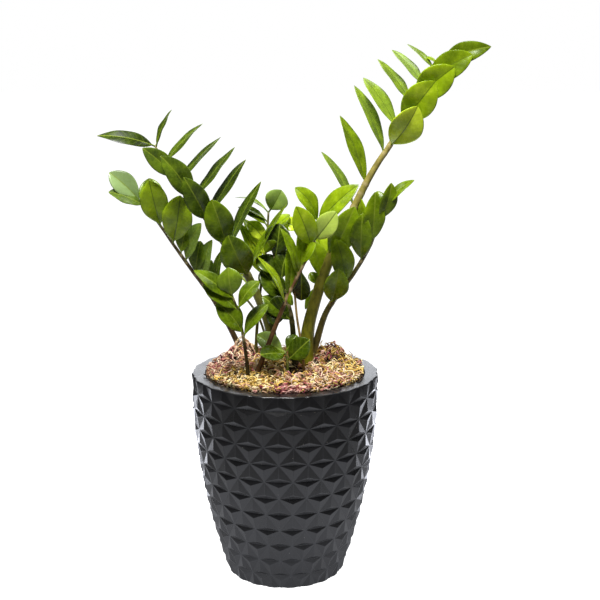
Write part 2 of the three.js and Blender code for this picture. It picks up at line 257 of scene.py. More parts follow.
# %% Sizes of the pot
POT_HEIGHT = 292
LATTICE_RADIUS = 130          # of the valley lines between the peaks, at the rim
TAPER_START = 40              # upright for this far below the rim
TAPER_RATE = 0.00322
TAPER_POWER = 1.738
COLUMNS = 20
ROWS = 12
ROW_PITCH = 25
TOP_LINE = POT_HEIGHT + 5     # the rim cuts through the first row of triangles
LATTICE_TURN = -0.0588        # radians from the front to the first node
FACET_RISE = 3.1              # the peaks of a cast are blunt
PEAK_SHARE = 0.28             # from the middle of a triangle's level side towards its tip
RIM_INNER_RADIUS = 112
WALL = 17
FLOOR = 16
INSIDE_HEIGHTS = [288, 260, 230, 170, 110, 60, 17.5]
INSIDE_CORNER = 1.5           # where the wall meets the floor
FLOOR_FAN = 30                # radius of the innermost ring of a flat disc
RIDGE = 0.4                   # width of the rounded strip along each facet's edge
MOST_DRAWN_IN = 0.4           # share of the way to its middle that a small facet may be drawn in
LINE_WEAR_AND_HIGHLIGHT, PEAK_WEAR_AND_HIGHLIGHT = 1.0, 0.3    # wear and painted highlight along the edges: at the lattice's nodes, at the peaks
RIM_ROUND = 1.4               # rounding of the rim's edges
FOOT_ROUND = 1.2
HOLDING = 0.8                 # a ring this near a rounded edge keeps the flat beside it flat


def lattice_radius(z):
    """Radius of the valley lines at height z: upright below the rim, then drawn in by
    rate x (distance below that) ^ power."""
    drop = np.maximum(0, POT_HEIGHT - z - TAPER_START)
    return LATTICE_RADIUS - TAPER_RATE * drop**TAPER_POWER


def inside_radius(z):
    """Radius of the inside: the rim's opening, or the valley lines less the wall."""
    return np.minimum(RIM_INNER_RADIUS, lattice_radius(z) - WALL)


# %% Facets of the lattice
def lattice():
    """Nodes of the lattice, lines x columns x 3. Every other line is turned half a column."""
    line = np.arange(ROWS + 1)[:, None]
    column = np.arange(COLUMNS)[None, :]
    angle = LATTICE_TURN + (column + (line % 2) / 2) * 2 * math.pi / COLUMNS
    z = np.broadcast_to(TOP_LINE - ROW_PITCH * line, angle.shape).astype(float)
    radius = lattice_radius(z)
    return np.stack([radius * np.sin(angle), -radius * np.cos(angle), z], axis=-1)


def facet_corners():
    """Corners of all facets, n x 3 x 3: each lattice triangle (tip, b, c) gives three facets that
    meet in a peak over it."""
    nodes = lattice()
    row, column = np.meshgrid(np.arange(ROWS), np.arange(COLUMNS), indexing="ij")
    row, column = row.ravel(), column.ravel()
    shift = row % 2
    beside = (column + 1) % COLUMNS
    down = np.stack([nodes[row + 1, (column + shift) % COLUMNS], nodes[row, beside], nodes[row, column]], 1)
    up = np.stack([nodes[row, (column + 1 - shift) % COLUMNS], nodes[row + 1, column],
                   nodes[row + 1, beside]], 1)
    tip, b, c = np.moveaxis(np.concatenate([down, up]), 1, 0)
    normal = np.cross(b - tip, c - tip)
    normal /= np.linalg.norm(normal, axis=1, keepdims=True)
    peak = ((b + c) / 2) * (1 - PEAK_SHARE) + tip * PEAK_SHARE + normal * FACET_RISE
    return np.concatenate([np.stack(three, 1) for three in ((tip, b, peak), (b, c, peak), (c, tip, peak))])


corners = facet_corners()
print("facets", len(corners))

# %% Draw each facet in from its edges
# Each facet shrinks towards the middle of the circle that fits in it. That circle's radius is
# 2 x area / sum of the sides, so RIDGE / radius is the share that leaves strips of one width.
a, b, c = np.moveaxis(corners, 1, 0)
opposite = np.stack([np.linalg.norm(b - c, axis=1), np.linalg.norm(c - a, axis=1),
                     np.linalg.norm(a - b, axis=1)], 1)
centre = (corners * opposite[:, :, None]).sum(1) / opposite.sum(1)[:, None]
area = np.linalg.norm(np.cross(b - a, c - a), axis=1) / 2
share = np.minimum(MOST_DRAWN_IN, RIDGE * opposite.sum(1) / (2 * area))
inner = corners + (centre[:, None] - corners) * share[:, None, None]
six = np.concatenate([corners, inner], axis=1).reshape(-1, 3)
# wear and painted highlight along the edges: full at the lattice's nodes, less at the peaks, none inside a
# facet
wear_and_highlight = np.tile([LINE_WEAR_AND_HIGHLIGHT, LINE_WEAR_AND_HIGHLIGHT, PEAK_WEAR_AND_HIGHLIGHT, 0.0, 0.0, 0.0], len(corners))
# facets share their corners: equal points become one, which keeps the strongest painted edge highlight of
# them
unique, where = np.unique(np.round(six, 3), axis=0, return_inverse=True)
where = where.reshape(-1, 6)
pattern = [[3, 4, 5], [0, 1, 4, 3], [1, 2, 5, 4], [2, 0, 3, 5]]
relief_faces = [where[:, part] for part in pattern]
wear_and_highlight = np.maximum.reduceat(wear_and_highlight[np.argsort(where.ravel(), kind="stable")],
                            np.concatenate([[0], np.cumsum(np.bincount(where.ravel()))[:-1]]))
print("relief points", len(unique))

# %% Cut the relief level at the rim and at the foot
relief = bpy.data.meshes.new("relief")
relief.from_pydata(unique.tolist(), [], [face.tolist() for part in relief_faces for face in part])
# the painted edge highlight, with its share of wear, rides on the points as a mark
layer = relief.attributes.new("wear_and_highlight", "FLOAT", "POINT")
layer.data.foreach_set("value", wear_and_highlight.astype(np.float32))
work = bmesh.new()
work.from_mesh(relief)
for height, direction in ((POT_HEIGHT - RIM_ROUND, 1), (FOOT_ROUND, -1)):
    everything = work.verts[:] + work.edges[:] + work.faces[:]
    bmesh.ops.bisect_plane(work, geom=everything, plane_co=(0, 0, height), plane_no=(0, 0, direction),
                           clear_outer=True, dist=1e-4)
work.to_mesh(relief)
work.free()
outside = np.empty(len(relief.vertices) * 3)
relief.vertices.foreach_get("co", outside)
outside = outside.reshape(-1, 3)
wear_and_highlight = np.empty(len(outside), np.float32)
relief.attributes["wear_and_highlight"].data.foreach_get("value", wear_and_highlight)
counts = np.empty(len(relief.polygons), np.int32)
relief.polygons.foreach_get("loop_total", counts)
starts = np.empty(len(relief.polygons), np.int32)
relief.polygons.foreach_get("loop_start", starts)
loops = np.empty(len(relief.loops), np.int32)
relief.loops.foreach_get("vertex_index", loops)
outside_faces = [loops[starts[counts == n][:, None] + np.arange(n)] for n in np.unique(counts)]
bpy.data.meshes.remove(relief)
print("relief between the cuts", len(outside), "points")


# %% Rim, inside, floor and underside
def edge_loop(points, height):
    """Indices of the points at a height, sorted by their angle round the axis."""
    level = np.nonzero(np.abs(points[:, 2] - height) < 1e-3)[0]
    return level[np.argsort(np.arctan2(points[level, 1], points[level, 0]))]


def rings_from(loop, points, profile, first_index):
    """Rings that follow an edge loop inward. profile is (share, radius, z): the ring lies at
    share x the loop's own radius + radius. Returns their points, faces and a fan to the axis."""
    edge = points[loop]
    own = np.hypot(edge[:, 0], edge[:, 1])
    ways = edge[:, :2] / own[:, None]
    rows = [np.column_stack([ways * (part * own + radius)[:, None], np.full(len(loop), z)])
            for part, radius, z in profile]
    count = len(loop)
    new = first_index + np.arange(len(rows) * count).reshape(len(rows), count)
    table = np.concatenate([loop[None], new])
    beside = np.roll(table, -1, axis=1)
    quads = np.stack([table[:-1], beside[:-1], beside[1:], table[1:]], axis=-1).reshape(-1, 4)
    middle = first_index + len(rows) * count
    fan = np.stack([table[-1], beside[-1], np.full(count, middle)], axis=-1)
    rows.append(np.array([[0, 0, profile[-1][2]]]))
    return np.concatenate(rows), [quads, fan]


RIM_BEND = 0.4        # the middle of a rounded edge, in from both of its faces
FOOT_BEND = 0.35
rim_profile = [
    (1, -RIM_BEND, POT_HEIGHT - RIM_BEND),
    (1, -RIM_ROUND, POT_HEIGHT),
    (1, -RIM_ROUND - HOLDING, POT_HEIGHT),
    (0, RIM_INNER_RADIUS + (RIM_ROUND + HOLDING), POT_HEIGHT),
    (0, RIM_INNER_RADIUS + RIM_ROUND, POT_HEIGHT),
    (0, RIM_INNER_RADIUS + RIM_BEND, POT_HEIGHT - RIM_BEND),
    (0, RIM_INNER_RADIUS, POT_HEIGHT - RIM_ROUND),
]
rim_profile += [(0, float(inside_radius(z)), z) for z in INSIDE_HEIGHTS]
rim_profile += [(0, float(inside_radius(FLOOR)) - INSIDE_CORNER, FLOOR), (0, FLOOR_FAN, FLOOR)]
foot_profile = [(1, -FOOT_BEND, FOOT_BEND), (1, -FOOT_ROUND, 0), (1, -FOOT_ROUND - HOLDING, 0),
                (0, FLOOR_FAN, 0)]

rim_points, rim_faces = rings_from(edge_loop(outside, POT_HEIGHT - RIM_ROUND), outside, rim_profile,
                                   len(outside))
foot_points, foot_faces = rings_from(edge_loop(outside, FOOT_ROUND), outside, foot_profile,
                                     len(outside) + len(rim_points))
foot_faces = [part[:, ::-1] for part in foot_faces]
pot_points = np.concatenate([outside, rim_points, foot_points])
pot_wear_and_highlight = np.concatenate([wear_and_highlight, np.zeros(len(rim_points)), np.zeros(len(foot_points))])
print("pot points", len(pot_points))

# %% [markdown]
# ### Fibre clay
# Fibre clay is clay bound with glass fibre, cast with a dark stain in the mass and sealed. It
# reads as charcoal stone with a satin skin: near black, with a broad soft highlight on each facet
# that mirrors something bright, a fine grain, faint paler clouds and specks where dust stays, and
# a faint pale line where facets meet, which is partly wear and partly a painted highlight of the
# light that the rounded edges catch. Noise in the colour, roughness and bump gives the grain, the
# clouds and the specks without any painted texture, and a mark on the mesh gives the pale line.

# %% Material of the pot
CLAY_CLOUD = 38                  # mm across a paler cloud
CLAY_GRAIN = 0.9                 # mm, drawn a little coarser than real so that it shows
CLAY_PIT = 7.0                   # mm between small pits
CLAY_SPECK = 11                  # mm between specks of dust
SPECK_EDGE = (0.035, 0.055)      # where a speck is full and where it ends, as shares of that
SPECK_COVER = 0.5
FOOT_PAINTED_LIGHT = 0.3              # painted light from the floor: the pot's colour gets a little paler and bluer towards its foot
# wear and painted highlight: how far the edges between facets are mixed towards a pale grey
EDGE_WEAR_AND_HIGHLIGHT = 0.16
CLAY_ROUGHNESS = (0.26, 0.32)    # least and most, by clouds
CLAY_IOR = 1.6                   # of a sealer rich in resin


def fibre_clay():
    """Charcoal fibre clay, stained in the mass and sealed. The sealer makes it satin, not matt."""
    made, tree = bare_material("charcoal_fibre_clay")
    place = add_node(tree, "ShaderNodeTexCoord").outputs["Object"]
    clouds = add_node(tree, "ShaderNodeTexNoise",
                      {"Vector": place, "Scale": per_metre(CLAY_CLOUD), "Detail": 4.0, "Roughness": 0.6})
    grain = add_node(tree, "ShaderNodeTexNoise",
                     {"Vector": place, "Scale": per_metre(CLAY_GRAIN), "Detail": 2.0})
    stain = add_node(tree, "ShaderNodeValToRGB", {0: clouds.outputs[0]},
                     stops=[(0.35, "#0c0b0b"), (0.5, "#100f10"), (0.7, "#17171a")])
    height = add_node(tree, "ShaderNodeSeparateXYZ", {0: place}).outputs["Z"]
    # painted light: towards the foot the stain is mixed with a pale blue grey, as if lit by the floor
    low = add_node(tree, "ShaderNodeMapRange",
                   {"Value": height, "From Min": 0.0, "From Max": POT_HEIGHT / MM_IN_METRE,
                    "To Min": FOOT_PAINTED_LIGHT, "To Max": 0.0})
    foot_lit = add_node(tree, "ShaderNodeMix",
                     {"Factor": low.outputs[0], 6: stain.outputs[0], 7: to_linear("#1f2126")},
                     data_type="RGBA")
    # wear and painted highlight: the edges between facets are mixed towards a pale grey
    edge_wear_and_highlight = add_node(tree, "ShaderNodeAttribute", attribute_type="GEOMETRY", attribute_name="wear_and_highlight")
    pale = add_node(tree, "ShaderNodeMath", {0: edge_wear_and_highlight.outputs["Fac"], 1: EDGE_WEAR_AND_HIGHLIGHT},
                    operation="MULTIPLY")
    colour = add_node(tree, "ShaderNodeMix",
                      {"Factor": pale.outputs[0], 6: foot_lit.outputs[2], 7: to_linear("#5b5f66")},
                      data_type="RGBA")
    speck = add_node(tree, "ShaderNodeTexVoronoi",
                     {"Vector": place, "Scale": per_metre(CLAY_SPECK), "Randomness": 1.0}, feature="F1")
    dust = add_node(tree, "ShaderNodeMapRange",
                    {"Value": speck.outputs["Distance"], "From Min": SPECK_EDGE[0],
                     "From Max": SPECK_EDGE[1], "To Min": SPECK_COVER, "To Max": 0.0})
    dusty = add_node(tree, "ShaderNodeMix",
                     {"Factor": dust.outputs[0], 6: colour.outputs[2], 7: to_linear("#9b978e")},
                     data_type="RGBA")
    rough = add_node(tree, "ShaderNodeMapRange",
                     {"Value": clouds.outputs[0], "From Min": 0.3, "From Max": 0.7,
                      "To Min": CLAY_ROUGHNESS[0], "To Max": CLAY_ROUGHNESS[1]})
    pits = add_node(tree, "ShaderNodeTexNoise",
                    {"Vector": place, "Scale": per_metre(CLAY_PIT), "Detail": 6.0, "Roughness": 0.7})
    relief = add_node(tree, "ShaderNodeMath", {0: pits.outputs[0], 1: grain.outputs[0]}, operation="ADD")
    bump = add_node(tree, "ShaderNodeBump",
                    {"Height": relief.outputs[0], "Strength": 0.14, "Distance": 0.0006})
    shader = add_node(tree, "ShaderNodeBsdfPrincipled",
                      {"Base Color": dusty.outputs[2], "Roughness": rough.outputs[0], "IOR": CLAY_IOR,
                       "Normal": bump.outputs[0]})
    add_node(tree, "ShaderNodeOutputMaterial", {"Surface": shader.outputs[0]})
    return made


make_piece("faceted_pot", pot_points, outside_faces + rim_faces + foot_faces, "pot",
           fibre_clay(), {"wear_and_highlight": pot_wear_and_highlight})

# %% [markdown]
# ## Soil and moss
# Potting soil fills the pot, and a mulch of dried moss covers it: a dense mat of curly fibres in
# tan, gold and faded pink, heaped at the back. A texture would look flat at the rim, so the mat is
# made of a dark lumpy bed and thousands of short three-sided strands. Each strand is a walk: it
# steps forward, turns a little each time, and rides at its own height over the heaps.

# %% Height of the moss
MOSS_EDGE_TOP = 288
MOSS_BAND = 26        # width of the slope along the edge
MOSS_RISE = 2.5
MOSS_LUMP = 1.4
MOSS_HEAPS = [
    # x, y, height, spread
    [-68, 60, 26, 26],
    [72, 52, 20, 34],
    [-5, 32, 13, 46],
    [-70, -25, 5, 34],
    [20, -6, -6, 16],
]
SOIL_TOP = 262
FIT_GAP = 0.3         # between the pot's inside and what fills it


def moss_height(x, y):
    """Height at the edge, plus a smooth step over the band along the edge, times the sum of a
    rise, small crossed waves and a bell for each heap."""
    edge = smoothstep(RIM_INNER_RADIUS - np.hypot(x, y), 0, MOSS_BAND)
    heaped = MOSS_RISE + MOSS_LUMP * np.sin(x / 7) * np.cos(y / 8 + x / 19)
    for heap_x, heap_y, height, spread in MOSS_HEAPS:
        heaped = heaped + height * np.exp(-((x - heap_x) ** 2 + (y - heap_y) ** 2) / spread**2)
    return MOSS_EDGE_TOP + edge * heaped


# %% Soil and the bed under the moss
FILL_AROUND = 96
BED_DROP = 4.5        # the bed lies this far under the moss's own height
BED_BOTTOM = SOIL_TOP + 3.6
FILL_HEIGHTS = (FLOOR + FIT_GAP, 60, 110, 170, 230, 258)
SOIL_RINGS = [111.2, 105, 98, 90, 80, 70, 60, 50, 40, 30, 20, 10]
BED_RINGS = [111.3, 109, 106, 103] + list(range(99, 3, -4))


def turned_fill(profile, top_rings, top_height):
    """A turned body: profile is (radius, z) up its side, then top rings whose height is a function
    of x and y, closed on the axis below and above."""
    angle = np.arange(FILL_AROUND) * 2 * math.pi / FILL_AROUND
    rows = [np.column_stack([radius * np.cos(angle), radius * np.sin(angle), np.full(FILL_AROUND, z)])
            for radius, z in profile]
    for radius in top_rings:
        x, y = radius * np.cos(angle), radius * np.sin(angle)
        rows.append(np.column_stack([x, y, top_height(x, y)]))
    rings = np.stack(rows)[None]
    start = np.array([[0, 0, profile[0][1]]])
    end = np.array([[0, 0, float(top_height(np.zeros(1), np.zeros(1))[0])]])
    return closed_tubes(rings, start, end)


def soil_height(x, y):
    """Crumbly top of the soil: crossed waves, 11 by 13 mm long, and slanting ones of 17 by 21 mm."""
    return SOIL_TOP + 1.2 * np.sin(x / 1.75) * np.sin(y / 2.1) + 1.0 * np.sin(x / 2.7 + y / 3.3)


def bed_height(x, y):
    """The dark bed lies a little under the moss, with crossed waves about 15 mm long."""
    return moss_height(x, y) - BED_DROP + 1.3 * np.sin(x / 2.3 + 1) * np.cos(y / 2.6)


soil_side = [(float(inside_radius(z)) - FIT_GAP, z) for z in FILL_HEIGHTS]
soil_points, soil_faces = turned_fill([(FLOOR_FAN, FLOOR + FIT_GAP)] + soil_side, SOIL_RINGS, soil_height)
bed_side = [(FLOOR_FAN, BED_BOTTOM), (111.4, BED_BOTTOM), (111.6, 280)]
bed_points, bed_faces = turned_fill(bed_side, BED_RINGS, bed_height)
print("soil", len(soil_points), "points, bed", len(bed_points), "points")


# %% Material of the soil
SOIL_CRUMB = 3.0      # mm across a crumb of soil
BED_CRUMB = 2.2       # and across one of the bed
CRUMB_RELIEF = 0.002  # metres, height of the bump
DULL = 0.95


def crumbs(name, dark, light, size):
    """Damp crumbly ground, which looks dull and broken: a strong bump of crumbs of the given size
    in mm, and two colours that change over half of it."""
    made, tree = bare_material(name)
    place = add_node(tree, "ShaderNodeTexCoord").outputs["Object"]
    crumb = add_node(tree, "ShaderNodeTexVoronoi", {"Vector": place, "Scale": per_metre(size)})
    fine = add_node(tree, "ShaderNodeTexNoise",
                    {"Vector": place, "Scale": per_metre(size / 2), "Detail": 5.0})
    tint = add_node(tree, "ShaderNodeValToRGB", {0: fine.outputs[0]}, stops=[(0.35, dark), (0.7, light)])
    bump = add_node(tree, "ShaderNodeBump",
                    {"Height": crumb.outputs["Distance"], "Strength": 0.8, "Distance": CRUMB_RELIEF})
    shader = add_node(tree, "ShaderNodeBsdfPrincipled",
                      {"Base Color": tint.outputs[0], "Roughness": DULL, "IOR": 1.4,
                       "Normal": bump.outputs[0]})
    add_node(tree, "ShaderNodeOutputMaterial", {"Surface": shader.outputs[0]})
    return made


make_piece("potting_soil", soil_points, soil_faces, "soil",
           crumbs("damp_potting_soil", "#1a1109", "#3c2a1c", SOIL_CRUMB))
make_piece("moss_bed", bed_points, bed_faces, "moss_mulch",
           crumbs("old_moss_bed", "#160f08", "#46331f", BED_CRUMB))

# %% Where each strand starts, and which shade it has
SEED = 7
STRANDS = 5000
SHADES = ["gold", "tan", "pink"]
MOSS_PATCHES = [
    # x, y, radius, weights of gold, tan and pink
    [-85, 5, 38, (0.4, 3.6, 1.4)],
    [-66, 52, 34, (0.3, 3.0, 1.6)],
    [-54, 74, 16, (4.5, 0.5, 0.2)],
    [-104, 48, 20, (0.1, 2.8, 2.0)],
    [-62, -46, 26, (3.4, 1.6, 0.4)],
    [-34, -62, 26, (4.8, 0.8, 0.2)],
    [4, -94, 17, (0.8, 0.7, 5.4)],
    [-16, 8, 26, (4.4, 0.8, 0.2)],
    [24, -84, 18, (2.0, 2.0, 1.6)],
    [40, -46, 26, (2.0, 2.4, 1.2)],
    [42, 14, 20, (1.4, 3.0, 1.2)],
    [38, 52, 22, (4.2, 1.0, 0.4)],
    [66, 46, 26, (0.6, 3.0, 2.2)],
    [92, 12, 26, (4.2, 1.2, 0.3)],
    [70, -38, 28, (2.4, 1.8, 1.0)],
    [86, 40, 22, (2.6, 1.6, 0.8)],
]
SCATTERED = (1.2, 1.4, 0.9)    # weights of the shades between the patches
SCATTER_SHARE = 0.12
PATCH_POWER = 1.4              # above 1 it narrows each patch's bell
SHADE_POWER = 1.6              # above 1 the heavier shade wins more often
SEEDED_TO = 0.985              # of the way from the axis to the rim's inner edge

dice = np.random.default_rng(SEED)
angle = dice.uniform(0, 2 * math.pi, STRANDS)
away = RIM_INNER_RADIUS * np.sqrt(dice.uniform(0, 1, STRANDS)) * SEEDED_TO
seed_x, seed_y = away * np.cos(angle), away * np.sin(angle)
weight = np.full((STRANDS, 3), SCATTERED) * SCATTER_SHARE
for patch_x, patch_y, radius, shares in MOSS_PATCHES:
    near = np.exp(-((seed_x - patch_x) ** 2 + (seed_y - patch_y) ** 2) / radius**2)
    weight = weight + near[:, None] ** PATCH_POWER * np.array(shares)
weight = weight**SHADE_POWER
odds = np.cumsum(weight / weight.sum(1, keepdims=True), axis=1)
shade = (dice.uniform(0, 1, STRANDS)[:, None] > odds).sum(1)
print("strands", dict(zip(SHADES, np.bincount(shade, minlength=3).tolist())))

# %% The way of each strand, seen from above
STRAND_RINGS = 10
STRAND_LENGTHS = (8, 26)
CURL = 0.16                # radians that a strand turns in each mm, as a standard deviation
WIGGLES = (0.5, 1.6)       # radians that it swings to each side
WIGGLE_RUN = 2.6           # mm of its way for each radian of that wave
OVER_RIM_SHARE = 0.06      # this share of the strands lies over the rim's inner edge
OVER_RIM = (2, 8)
SHORT_OF_RIM = 1.2         # the others stop this far inside it

length = dice.uniform(*STRAND_LENGTHS, STRANDS)
heading = dice.uniform(0, 2 * math.pi, STRANDS)
curl = dice.normal(0, CURL, STRANDS)
wiggle = dice.uniform(*WIGGLES, STRANDS)
phase = dice.uniform(0, 2 * math.pi, STRANDS)
step = np.linspace(0, 1, STRAND_RINGS)[None]
run = step * length[:, None]
swing = wiggle[:, None] * np.sin(run / WIGGLE_RUN + phase[:, None])
bearing = heading[:, None] + curl[:, None] * run + swing
pace = (length / (STRAND_RINGS - 1))[:, None]
walk_x = seed_x[:, None] + np.cumsum(np.cos(bearing) * pace, axis=1)
walk_y = seed_y[:, None] + np.cumsum(np.sin(bearing) * pace, axis=1)
is_over = dice.uniform(0, 1, STRANDS) < OVER_RIM_SHARE
over_rim = np.where(is_over, dice.uniform(*OVER_RIM, STRANDS), -SHORT_OF_RIM)[:, None]
inside = np.minimum(1, (RIM_INNER_RADIUS + over_rim) / np.hypot(walk_x, walk_y))
walk_x, walk_y = walk_x * inside, walk_y * inside
print("strands over the rim", int(is_over.sum()))

# %% The height of each strand
LAYERS = (-7, 4)           # how a strand lies against the moss's own height
HOLLOW = (10, -8, 15)      # x, y and radius of the hollow between the stems, whose strands lie lower and so get more painted shade
HOLLOW_DEPTH = 10
ARCHES = (0, 6)
STRAY_SHARE = 0.05         # this share of the strands sticks out
STRAY_LIFT = 8             # rise of such a strand's end, as a standard deviation
LIFT = 3.2                 # and of the others'
BANK_HEIGHT = 4.5          # the moss is banked up along the pot
BANK_WIDTH = 12
RIM_BAND = (4, 1)          # mm inside the rim's edge: a strand begins to be held over it, is over it
RIM_CLEARANCE = 1.2

hollow_x, hollow_y, hollow_radius = HOLLOW
hollow = np.exp(-((seed_x - hollow_x) ** 2 + (seed_y - hollow_y) ** 2) / hollow_radius**2)
layer_height = (dice.uniform(*LAYERS, STRANDS) - HOLLOW_DEPTH * hollow)[:, None]
arch = dice.uniform(*ARCHES, STRANDS)[:, None] * np.sin(math.pi * step)
stray = np.where(dice.uniform(0, 1, STRANDS) < STRAY_SHARE, STRAY_LIFT, LIFT)
lift = (dice.normal(0, 1, STRANDS) * stray)[:, None] * step
reach = np.hypot(walk_x, walk_y)
banked = BANK_HEIGHT * np.exp(-(((RIM_INNER_RADIUS - reach) / BANK_WIDTH) ** 2))
walk_z = moss_height(walk_x, walk_y) + layer_height + arch + lift + banked
on_rim = smoothstep(reach, RIM_INNER_RADIUS - RIM_BAND[0], RIM_INNER_RADIUS - RIM_BAND[1])
walk_z = np.maximum(walk_z, (POT_HEIGHT + RIM_CLEARANCE) * on_rim)
paths = np.stack([walk_x, walk_y, walk_z], axis=-1)
print("moss between", round(float(walk_z.min())), "and", round(float(walk_z.max())), "mm")


# %% Carry a triangle along each strand
def strand_rings(path, radius):
    """A ring of three points round each point of each path: side x cos - up x sin, with side level
    and across the strand. radius is per strand and row."""
    heading = np.gradient(path, axis=1)
    heading /= np.linalg.norm(heading, axis=-1, keepdims=True)
    side = np.cross(heading, [0.0, 0.0, 1.0])
    side /= np.linalg.norm(side, axis=-1, keepdims=True) + 1e-9
    up = np.cross(side, heading)
    turn = np.arange(3) * 2 * math.pi / 3
    across = side[:, :, None] * np.cos(turn)[:, None] + up[:, :, None] * -np.sin(turn)[:, None]
    return path[:, :, None] + across * radius[:, :, None, None]


STRAND_RADII = (0.7, 1.5)
TIP_LOSS = 0.75            # share of its radius that a strand loses by its tip
START_SHARE = 0.7          # share of its radius that it has at its start

swelling = START_SHARE + (1 - START_SHARE) * np.sin(math.pi * step)
thick = dice.uniform(*STRAND_RADII, STRANDS)[:, None] * (1 - TIP_LOSS * step**3) * swelling
tone = dice.uniform(0, 1, STRANDS)
print("thickest strand", round(2 * float(thick.max()), 1), "mm")

# %% Material of the strands
MOSS_FLECK = 2.2           # mm across a fleck of another tone
FLECK_SHARE = 0.35         # how much of a strand's tone comes from its flecks


def moss_fibre(name, stops):
    """Dried moss, a plant fibre: dull and pale, each strand in a tone of its own, which breaks up the
    mat. A strand that lies low in the mat gets painted shade, mixed towards dark brown."""
    made, tree = bare_material(name)
    own = add_node(tree, "ShaderNodeAttribute", attribute_type="GEOMETRY", attribute_name="tone")
    place = add_node(tree, "ShaderNodeTexCoord").outputs["Object"]
    flecks = add_node(tree, "ShaderNodeTexNoise",
                      {"Vector": place, "Scale": per_metre(MOSS_FLECK), "Detail": 3.0})
    mixed = add_node(tree, "ShaderNodeMix",
                     {"Factor": FLECK_SHARE, 2: own.outputs["Fac"], 3: flecks.outputs[0]})
    tint = add_node(tree, "ShaderNodeValToRGB", {0: mixed.outputs[0]}, stops=stops)
    # painted shade: a strand that lies low in the mat is mixed towards dark brown
    shade_mark = add_node(tree, "ShaderNodeAttribute", attribute_type="GEOMETRY", attribute_name="depth_shade")
    shaded = add_node(tree, "ShaderNodeMix",
                      {"Factor": shade_mark.outputs["Fac"], 6: tint.outputs[0], 7: to_linear("#241709")},
                      data_type="RGBA")
    shader = add_node(tree, "ShaderNodeBsdfPrincipled",
                      {"Base Color": shaded.outputs[2], "Roughness": 0.85, "IOR": 1.4})
    add_node(tree, "ShaderNodeOutputMaterial", {"Surface": shader.outputs[0]})
    return made


# %% Make the moss
MOSS_TINTS = {
    "gold": [(0.25, "#a8843a"), (0.5, "#eac464"), (0.75, "#fff0b8")],
    "tan": [(0.25, "#a27254"), (0.5, "#dfb088"), (0.75, "#fbe6c6")],
    "pink": [(0.25, "#984450"), (0.5, "#d28e84"), (0.75, "#f6ccba")],
}
SHADED_FROM, SHADED_TO = -2.5, 3.0    # mm under the moss's height: the painted shade on a strand begins, is full
ARCH_LIGHT = 0.6                      # share of its arch that lifts it out of the painted shade
# the most painted shade that a strand can get
DARKEST = 0.92

for number, name in enumerate(SHADES):
    chosen = shade == number
    path = paths[chosen]
    rings = strand_rings(path, thick[chosen])
    points, faces = closed_tubes(rings, path[:, 0], path[:, -1])
    shape = rings.shape[:3]
    own = np.broadcast_to(tone[chosen][:, None, None], shape)
    # how much painted shade each strand gets, from how low it lies
    under = -layer_height[chosen] - arch[chosen] * ARCH_LIGHT
    depth_shade = smoothstep(under, SHADED_FROM, SHADED_TO)[:, :, None] * DARKEST
    make_piece("moss_" + name, points, faces, "moss_mulch",
               moss_fibre(name + "_dried_moss", MOSS_TINTS[name]),
               {"tone": on_tubes(own, shape), "depth_shade": on_tubes(depth_shade, shape)})
